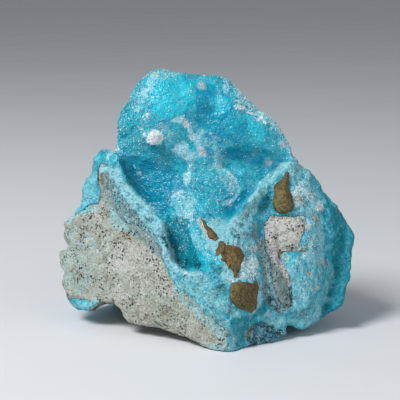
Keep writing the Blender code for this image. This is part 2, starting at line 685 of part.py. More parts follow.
def hull(name, points, look=None):
    """A solid with flat faces around the points."""
    bm = bmesh.new()
    for p in points:
        bm.verts.new(Vector(p) * MM)
    bmesh.ops.convex_hull(bm, input=bm.verts)
    bmesh.ops.delete(bm, geom=[v for v in bm.verts if not v.link_faces], context="VERTS")
    bmesh.ops.dissolve_limit(bm, angle_limit=FLAT_WITHIN, verts=bm.verts, edges=bm.edges)
    bmesh.ops.triangulate(bm, faces=bm.faces)
    bmesh.ops.recalc_face_normals(bm, faces=bm.faces)
    mesh = bpy.data.meshes.new(name)
    bm.to_mesh(mesh)
    bm.free()
    return add_object(name, mesh, look)


def grown(points, gap):
    """The points with eight more around each, so that their hull leaves a gap on every side."""
    return np.concatenate([points + gap * (2 * np.array(corner) - 1) for corner in np.ndindex(2, 2, 2)])


def make_lumps():
    """The limonite lumps; returns a slightly larger cutter for the pocket of each."""
    look = material("limonite")
    pockets = []
    for name, shape in LUMPS.items():
        points = centred(lump_corners(*shape))
        hull(name, points, look)
        pockets.append(hull(f"{name}_pocket", grown(points, LUMP_GAP)))
    return pockets


def main():
    for old in list(bpy.data.objects):
        bpy.data.objects.remove(old, do_unlink=True)
    crust, matrix = make_stone()
    for pocket in make_lumps():
        combine(crust, pocket, "DIFFERENCE")
        combine(matrix, pocket, "DIFFERENCE")
    settle(crust)
    settle(matrix)


if __name__ == "__main__":
    main()
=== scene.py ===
"""Hemimorphite specimen: the final materials and the fine surface of the stone, its crystals and its lumps.

The stone is found from the same drawing as its CAD model: a sketch plane that leans back by LEAN, with u
to the right, v up the plane and w straight through it, away from the viewer. Lengths are in millimetres
until a mesh is made. The colours of the surface lie in named outlines, as the viewer sees them.
"""

import math

import bmesh
import bpy
import numpy as np
from bpy.props import FloatProperty, FloatVectorProperty, IntProperty, PointerProperty
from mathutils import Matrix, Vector


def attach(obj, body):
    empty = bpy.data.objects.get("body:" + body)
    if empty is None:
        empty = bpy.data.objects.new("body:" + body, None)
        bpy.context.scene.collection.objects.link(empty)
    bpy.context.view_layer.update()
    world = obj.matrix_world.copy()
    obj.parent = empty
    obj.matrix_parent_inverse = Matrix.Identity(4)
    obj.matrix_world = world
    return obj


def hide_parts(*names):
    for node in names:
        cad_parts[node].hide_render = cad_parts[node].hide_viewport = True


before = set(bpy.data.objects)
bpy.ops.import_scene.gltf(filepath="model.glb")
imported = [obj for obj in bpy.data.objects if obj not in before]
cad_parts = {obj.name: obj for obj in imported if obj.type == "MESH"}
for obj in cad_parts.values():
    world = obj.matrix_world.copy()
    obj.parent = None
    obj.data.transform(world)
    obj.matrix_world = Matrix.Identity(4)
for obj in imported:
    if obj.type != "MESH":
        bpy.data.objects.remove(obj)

bl_info = {
    "name": "Hemimorphite specimen",
    "version": (1, 0, 0),
    "blender": (4, 5, 0),
    "location": "3D View > Sidebar > Specimen",
    "description": "Builds a blue hemimorphite crust on host rock with limonite lumps",
    "category": "Object",
}

MM = 0.001
TINY = 1e-9  # keeps a logarithm off zero
# Large odd numbers that mix a cell, a pattern's number and a count into random bits
MIX_CELL = (73856093, 19349663, 83492791)
MIX_PATTERN, MIX_NUMBER, MIX_BITS = 2654435761, 1013904223, 0x45D9F3B

LEAN = math.radians(15)

# Driving dimensions
CRUST = 5.0  # thickness of the blue crust over the host rock
POKE = 4.0  # how far the host rock's form reaches out of the stone where the rock is bare
LUMP_ROOT = 4.5  # how deep a lump is bedded
MIDDLE = (0.2, 0.75)  # of the stone's box in x and y, moved to zero

# The grid that the surfaces are found on, in u, v, w
GRID_LOW = (-57.0, -15.0, -43.0)
GRID_HIGH = (57.0, 96.0, 46.0)

# Outline of the whole stone as seen from the front, clockwise from the left end of the vug's edge
OUTLINE = (
    (-31, 64.5), (-30, 71), (-28, 75.5), (-26, 79.5), (-23.5, 83.5), (-21, 87), (-18.5, 89.5),
    (-15, 90.5), (-8, 90.5), (-4, 89.5), (0, 89), (6.5, 86.5), (12.5, 82), (20, 75.5),
    (23.5, 72.5), (27, 69), (29.5, 65), (31, 59.5), (33.5, 56.5), (39, 50), (42.5, 46),
    (48.5, 39.5), (51, 36), (52, 31.5), (52, 27), (50, 15.5), (48.5, 8.5), (45.5, 5), (41.5, 3),
    (37, -0.5), (34, -1.5), (30.5, -0.5), (28, -0.5), (27.5, -3), (24.5, -5), (18, -7), (13, -7.5),
    (10.5, -9), (7.5, -9.5), (4.5, -9.5), (-0.5, -7.5), (-2.5, -6), (-11, -3.5), (-18.5, -1),
    (-22, -0.5), (-25.5, 0.5), (-28.5, 1), (-34.5, 1), (-38.5, 2), (-40.5, 4.5), (-43, 5),
    (-47.5, 7), (-49.5, 12), (-51, 19), (-52, 23), (-51, 25.5), (-49, 27.5), (-49, 30), (-51, 36),
    (-49, 37.5), (-43.5, 41), (-43.5, 47), (-42.5, 50), (-40, 52.5), (-39, 57), (-36.5, 60),
    (-33.5, 60.5), (-31.5, 61),
)

# Rim between the vug and the front slab, from left to right, then closed well outside the stone
RIM = (
    (-35, 63.5), (-31.5, 61), (-29.5, 57), (-29, 53), (-27, 49), (-23.5, 44.5), (-18.5, 39),
    (-14.5, 35), (-13.5, 29.5), (-12.5, 25), (-11, 22), (-9, 19), (-6, 17.5), (-2.5, 17),
    (0.5, 18), (4, 21), (6, 25), (7, 29), (7, 32.5), (9, 35.5), (12, 39.5), (15, 43), (17.5, 46),
    (21, 49), (25, 51.5), (27.5, 55), (30, 58.5), (32.5, 61.5),
    (60, 62), (60, -25), (-65, -25), (-65, 63),
)

# Points on the wall of the vug and the domed top: u, v, w
WALL = (
    ("top edge left", -19.5, 88.5, -12.5),
    ("top edge", -11.5, 90.5, -11),
    ("top edge middle", 0, 88, -10),
    ("top edge right", 9.5, 84, -10),
    ("right edge upper", 18, 77, -10.5),
    ("right edge", 26, 69, -10),
    ("right edge low", 30, 61, -10),
    ("top slope left", -15, 83.5, -16),
    ("top slope right", 6, 80, -13.5),
    ("right slope", 22, 66, -13.5),
    ("left edge upper", -25, 79, -14.5),
    ("left edge low", -30.5, 66.5, -11),
    ("dome upper", -16.5, 76, -17.5),
    ("dome brow", -18.5, 68, -16),
    ("dome right", -9.5, 72.5, -17),
    ("dome chin", -14, 63, -14),
    ("valley upper", -1.5, 78.5, -15.5),
    ("valley middle", 1, 70.5, -13.5),
    ("valley low", 0.5, 62.5, -13),
    ("right lobe upper", 10.5, 73.5, -16),
    ("right lobe", 15.5, 66, -15.5),
    ("right lobe end", 23.5, 61, -13),
    ("under ledge left", 9.5, 57.5, -11),
    ("under ledge right", 20, 55.5, -9.5),
    ("recess left", -25, 56, -9),
    ("recess", -16.5, 52.5, -9.5),
    ("recess middle", -7.5, 53.5, -10.5),
    ("frosted bank", 0.5, 52, -11.5),
    ("frosted bank right", 11, 47, -10.5),
    ("recess right", 17.5, 50, -8),
    ("slope left", -20.5, 45, -9),
    ("slope middle", -12.5, 42.5, -11.5),
    ("pale knob", -7, 41, -15),
    ("slope right", 2.5, 41.5, -14.5),
    ("gutter", 10, 40.5, -11),
    ("pocket head", -12.5, 35.5, -12.5),
    ("pocket middle", -9.5, 29.5, -17),
    ("pocket low", -9.5, 24, -20),
    ("pocket end", -5, 19.5, -22),
    ("ridge head", -3, 33, -19),
    ("ridge flank", -0.5, 26.5, -25),
    ("ridge foot", 0.5, 20.5, -30),
    ("ridge crest", 3.5, 30, -23),
    ("ridge right", 6, 24, -28.5),
)

# Points on the right of the front slab, and a few past its corner edge that keep it ahead of the break
FRONT = (
    ("upper corner", 30.5, 57.5, -12.5),
    ("upper rim", 25, 50.5, -15),
    ("middle rim", 16.5, 43.5, -20),
    ("low rim", 9, 34.5, -25),
    ("low rim face", 12.5, 31, -26),
    ("ridge join", 5.5, 20.5, -31.5),
    ("knuckle", 11, 20.5, -30.5),
    ("shoulder of the big lump", 13.5, 14.5, -32),
    ("big lump", 13, 8.5, -33),
    ("under the big lump", 12, 2.5, -33),
    ("front edge", 10.5, -7.5, -33.5),
    ("corner edge top", -0.5, 15.5, -32.5),
    ("corner edge", 5.5, 8.5, -35),
    ("corner edge low", 9.5, 1.5, -35.5),
    ("valley head", 20.5, 40.5, -14.5),
    ("valley upper", 19.5, 31.5, -18.5),
    ("valley middle", 21, 22, -21.5),
    ("valley low", 22.5, 12, -24),
    ("valley foot", 23, 5, -24.5),
    ("tall lump", 27, 43.5, -16.5),
    ("grey patch", 29.5, 32.5, -19),
    ("valley bank", 26.5, 23, -20),
    ("bank low", 29, 14, -21.5),
    ("lobe upper", 37.5, 44.5, -12.5),
    ("lobe middle", 39.5, 33.5, -13.5),
    ("lobe face", 36, 22.5, -17.5),
    ("lobe low", 34, 12, -20),
    ("lobe lip", 33, 1.5, -19.5),
    ("lobe edge upper", 43.5, 40, -7.5),
    ("lobe edge", 44.5, 27.5, -8.5),
    ("lobe edge low", 42, 11.5, -11.5),
    ("lobe corner", 38.5, 2.5, -14.5),
    ("side upper", 50, 36.5, -2.5),
    ("side", 51, 26.5, -1),
    ("side low", 48, 12, 3),
    ("beyond the corner", -17.5, 23.5, -58),
    ("beyond the corner low", -17.5, -2, -63.5),
    ("far beyond the corner", -40.5, 19, -82.5),
)

# The broken face on the left: a flat break through the front foot, turned to the left and leaning back
BREAK_FOOT = Vector((6.7, -37.5, 0.0))
BREAK_TURN = math.radians(33.5)
BREAK_LEAN = math.radians(8)

# Where the host rock is bare, on the sketch plane: the broken face and a patch beside the right lobe
BARE_FACE = (
    (-56, 36), (-46, 39), (-40.5, 41.5), (-37.5, 44), (-37.5, 53), (-36.5, 56), (-34.5, 53),
    (-34, 47.5), (-30.5, 42), (-27, 35), (-20.5, 31.5), (-16.5, 27.5), (-14.5, 22.5),
    (-11.5, 16.5), (-8.5, 12.5), (-2.5, 8.5), (1.5, 2.5), (6.5, -2.5), (7.5, -7.5), (6.5, -14),
    (-5, -14), (-25.5, -10), (-41.5, -4), (-42, 4), (-37.5, 7), (-40, 8), (-47.5, 8), (-56, 11.5),
)
BARE_PATCH = (
    (22, 36.5), (25, 38), (29.5, 37.5), (34, 36.5), (33.5, 29.5), (32, 26), (26.5, 25), (26, 22),
    (28, 17.5), (29, 7.5), (26.5, 6.5), (23.5, 14), (21.5, 23), (20, 30),
)
BARE_DEPTH = 9.0  # how far behind the front the bare areas go
BARE_UNDER = 49.0  # the same below the broken face, so that the underside is bare too
UNDER_FROM, UNDER_TO = 6.0, 10.0  # v between the two
# Seen from behind, in x and z: the crust has broken off the middle of the back, behind BACK_FROM in y
BARE_BACK = (
    (-34, 6), (-38, 22), (-30, 40), (-20, 52), (-6, 58), (6, 50), (20, 46), (31, 34), (34, 18),
    (26, 6), (10, -4), (-20, -4),
)
BACK_FROM = 6.0

# Steps across the surface, seen from the front: line, drop below it, reach of the drop
LEDGES = (
    ("under the right lobe", ((5, 59.5), (12, 61.5), (19, 61), (25, 59)), 1.8, 9.0),
    ("under the grey patch", ((26, 25.5), (30, 26.5), (34.5, 26)), 1.5, 6.0),
)
LEDGE_EDGE = 0.7  # half the height over which a ledge drops
LEDGE_END = 2.0  # half the length over which it fades in or out
LEDGE_FULL = 0.4  # part of its reach over which it stays at its full depth
# Cracks: line, half width, depth
CRACKS = (
    ("beside the grey patch", ((24.5, 27.5), (27, 20), (28.5, 12), (29.5, 6)), 1.0, 1.6),
    ("in the dark wedge", ((16.5, 1), (14, -2.5), (12.5, -6)), 1.0, 1.5),
)
# Pits: u, v, radius, depth
PITS = (
    ("in the low rim", 10, 30.5, 1.2, 1.8),
    ("beside the large lump", 5.5, 10.5, 2.0, 2.0),
)

# Lumps of limonite: outline on the sketch plane, how far out the lump stands, its front's lean in u and v
LUMPS = {
    "limonite_large": (
        ((8.5, 13.5), (12, 14.5), (18, 14.5), (18.5, 11), (18, 7.5), (17.5, 5), (15.5, 3.5),
         (13.5, 4), (10.5, 5), (8, 7.5), (8, 10)), 2.6, (0.12, -0.10)),
    "limonite_tall": (
        ((26.5, 51.5), (28, 51), (29, 47.5), (30.5, 43.5), (31, 40), (30, 38.5), (27.5, 38),
         (26, 37.5), (24.5, 38.5), (23.5, 41.5), (23.5, 45), (23.5, 48.5)), 3.4, (-0.15, 0.10)),
    "limonite_middle": (
        ((6, 27.5), (9, 27.5), (12, 26), (13.5, 23), (12, 20), (11, 16.5), (10, 17), (7.5, 19),
         (4.5, 21), (3.5, 23.5), (4.5, 26.5)), 2.4, (0.10, -0.15)),
    "limonite_small": (
        ((-1, 35), (0.5, 34), (2.5, 32.5), (4.5, 30.5), (5, 29), (3.5, 28), (1.5, 29),
         (0.5, 31.5)), 1.6, (0.0, 0.0)),
}
# Rings of a lump's corners above its root: size of the outline there, and how far out it is
LUMP_RINGS = ((1.0, 0.0), (0.86, 0.62), (0.5, 1.0))
LUMP_ROOT_SIZE = 0.72  # size of the outline at the root
LUMP_CHIP = 0.35  # the most that a corner is chipped back
LUMP_STEPS = 2  # to a millimetre, on the grid its corners are told apart by
LUMP_PATTERN = 11  # number of the chips' pattern

BALL = (-18.5, 65.0, -15.8)  # u, v, w of a round white growth on the brow of the dome
BALL_RADIUS = 2.6

# Hollows of the underside, as ellipsoids in x, y, z: middle and radii
ARCH = ((-33.0, -6.0, 2.0), (7.5, 13.0, 7.5))
BELLY = ((0.0, -3.0, -9.0), (30.0, 24.0, 11.8))

# Flat breaks that shape the back: outward direction in x, y, z and a point on each
BACK = (
    ((0.0, 1.0, 0.22), (0.0, 37.0, 20.0)),
    ((-0.75, 0.8, 0.12), (-37.0, 25.0, 25.0)),
    ((0.62, 0.8, 0.05), (40.0, 27.0, 22.0)),
    ((0.1, 0.85, -0.5), (0.0, 30.0, 3.0)),
    ((0.0, 0.6, 0.8), (-5.0, 22.0, 91.0)),
    ((0.55, 0.55, 0.6), (28.0, 20.0, 68.0)),
    ((-0.75, 0.5, 0.4), (-35.0, 17.0, 68.0)),
)

# How much the meeting of two surfaces is rounded
RIM_ROUND = 1.3
VUG_ROUND = 1.9
EDGE_ROUND_LOW, EDGE_ROUND_HIGH = 1.2, 3.7  # at the foot and at the top
EDGE_FROM, EDGE_TO = 20.0, 60.0  # v between the two
BACK_ROUND = 6.0
SHOULDER_ROUND = 4.0
HOLLOW_ROUND = 1.5
BALL_ROUND = 0.6
SIDE_TAPER = 0.3  # how fast the sides close in towards the back
TAPER_FROM = 4.0  # depth at which they start to
WALL_RETREAT = 2.0  # distance outside the vug after which its wall drops behind the front

# Roughness: size of a wave or knob, its height, and the number that fixes its pattern
KNOBS_FRONT = (7.0, 0.7, 3)
KNOBS_BACK = (11.0, 2.4, 5)
KNOBS_SUNK = (0.35, 1.15)  # how deep they sit in the front and in the back, so that the size stays
KNOB_SCATTER, KNOB_SPREAD = 0.7, 0.75  # unevenness of their places, and how flat they run out
BREAKS = ((9.0, 0.9, 7), (4.2, 0.5, 8))
TERRACES = (13.0, 0.35, 9)
TERRACE_STEPS = 3
BREAKS_FRONT, BREAKS_BACK = 0.6, 1.7
RAGGED = (6.0, 1.3, 21)  # waves of the bare areas' borders
BORDER = 0.8  # half the width of a border
BREAK_STARTS = (-0.5, 1.0)  # distances inside a border between which the breaks reach their full height
BACK_STARTS = (-2.0, 8.0)  # y between which the front's roughness turns into the back's
NEAR = 5.0  # roughness is only worked out this close to the surface

# What only the visual model has: finer roughness, as size, height and number of the pattern
FINE_KNOBS = ((2.9, 0.42, 31), (1.5, 0.2, 33))
FINE_SUNK = 0.3  # how deep they sit
FINE_BREAKS = ((2.2, 0.45, 41), (1.2, 0.3, 43))
CHIPS = ((3.6, 0.65, 45), (1.9, 0.5, 46), (1.2, 0.3, 47))
CHIPS_START = (-0.5, 1.5)  # distances outside the vug between which the crust turns chipped
RAGGED_FINE = (2.2, 0.9, 22)
NEAR_FINE = 1.6  # fine roughness is only worked out this close to the surface
WALL_COVER = 6.0  # how far behind the vug's wall the rock is bare at the soonest
LUMP_WAVES = ((2.6, 0.15, 51), (1.2, 0.2, 52), (0.7, 0.15, 53))
LUMP_EDGE = 0.12  # rounding of a lump's edges
LUMP_MARGIN = 2.0  # room around a lump on its grid
# Small horns of a lump that its CAD model leaves out: outline, how far out it stands, its lean
LUMP_HORNS = {
    "limonite_tall": (
        (((26.5, 49), (28.3, 53.4), (29.4, 53), (29.5, 48)), 2.2, (0.0, 0.0)),
        (((22.8, 50.3), (24.6, 49.6), (26, 45), (23.6, 44.5)), 2.4, (0.0, 0.0)),
    ),
    "limonite_small": (
        (((-1.6, 36.4), (-0.2, 36), (1.4, 33), (0, 32.4)), 1.5, (0.0, 0.0)),
    ),
    "limonite_middle": (
        (((3.2, 24.5), (5.2, 28.2), (7.4, 27.6), (6, 23)), 2.0, (0.0, 0.0)),
        (((9.2, 21), (11.8, 20.5), (10.6, 15.2), (9.6, 15.6)), 1.8, (0.0, 0.0)),
    ),
}
LUMP_RUST = {"limonite_large": 0.1, "limonite_tall": 0.0, "limonite_middle": 0.45, "limonite_small": 0.9}
HIDDEN_BELOW = -1.5  # what is this deep in the stone is never seen
KEEP_SHARE = 0.62  # of a mesh, once its hidden faces are merged

# The druse: numbers of its random patterns, and the grid its places are told apart by
PLACE_PATTERN, TURN_PATTERN, TILT_PATTERN = 61, 62, 63
PLACE_STEPS = 50  # to a millimetre
VUG_START = (-1.0, 1.0)  # distances from the rim between which the crystals set in
VUG_END = (3.0, 5.0)  # depths behind the vug's wall between which they end
# How many crystals there are on plain crust, how far the deep blue thins them out, and how many there are
# where the crust is frosted, sparkling or white
DRUSE_PLAIN, DRUSE_THINNED, DRUSE_FROST, DRUSE_SPARKLE, DRUSE_WHITE = 0.25, 0.8, 0.4, 0.6, 1.2
DRUSE_LEAST = 1e-6  # taken for none, so that the ranking never divides by zero
DRUSE_TILT = 1.6  # how far a crystal leans out of the surface's normal
DRUSE_TURN = 6.28  # the most that a crystal is turned about itself, in radians
DRUSE_SLANT = 0.3  # how far its broad side is tipped
BLADE_TALL = (0.35, 0.9)  # least length of a crystal, and what chance adds
BLADE_WIDE = (0.5, 0.4)  # the same for its width, in lengths
# A crystal's paleness is partly its own pale colour, partly a painted sparkle
GLINT_FROM = (0.7, 1.02)  # random numbers between which a crystal turns pale
GLINT_WHITE, GLINT_SPARKLE = 0.35, 0.2  # what white crust and sparkling crust add to them
GLINT_STRENGTH = (-0.5, 1.0)  # random numbers between which it grows to its full paleness

# The colour layers, from the lowest to the highest, and how softly each sets in; some of them paint light
# or shade
LAYERS = {"deep": 0.9, "teal": 0.9, "sky": 1.6, "cyan": 1.3, "frost": 0.8, "rind": 1.0, "grey": 0.6,
          "painted_shade": 0.5, "pink": 1.4, "ochre": 0.4, "brown": 0.5, "white": 0.5, "ash": 0.6}
DEEP_LAYERS = ("deep", "teal", "sky", "cyan", "rind", "grey")  # those that reach far down the sides
DEEP_TO, SHALLOW_TO = (16.0, 22.0), (7.0, 10.0)  # depths behind the front between which they end
FACING = (-0.35, 0.0)  # a surface's turn to the viewer over which it takes on the front's colours
ON_SLAB = -2.0  # distance from the rim beyond which a depth is measured from the slab alone
SMOOTH_FROM = (-1.5, 0.5)  # distances from the rim between which the broken crust ends
# Patches of the sides and the back, which no picture shows: size, share of it that is covered, pattern
CRUST_PATCHES = {"deep": (14.0, 0.7, 81), "cyan": (12.0, 0.6, 84), "frost": (9.0, 0.6, 87),
                 "rind": (16.0, 0.7, 90), "brown": (11.0, 0.35, 93)}
ROCK_PATCHES = {"brown": (12.0, 0.5, 96), "ash": (15.0, 0.7, 99), "grey": (18.0, 0.7, 102),
                "rind": (17.0, 0.4, 105)}
PATCH_WAVES = ((1.0, 0.7), (0.4, 0.4), (0.15, 0.2))  # of a patch's size, and heights
PATCH_BENDS = ((7.0, 6.0, 108), (7.0, 6.0, 109), (7.0, 6.0, 110))  # waves that bend it in x, y and z
PATCH_FROM = (0.1, 0.5)  # heights between which a patch sets in
CREST_SHARES = (0.55, 0.45)  # of the large and the fine knobs in how far a place stands out
VIEW_DISTANCE = 500.0  # from the viewer to the sketch plane
PIXEL_SIZE = 1 / 2.77  # of a pixel of the picture, in millimetres on the sketch plane
PIXEL_ZERO = (205, 323)  # where u = v = 0 lies in the picture
ZONE_EDGE = 0.9  # half the width of a colour's border
ZONE_RAGGED = (2.2, 0.65, 71)  # waves of those borders
ZONE_MARGIN = 8  # pixels around an outline that its border can reach

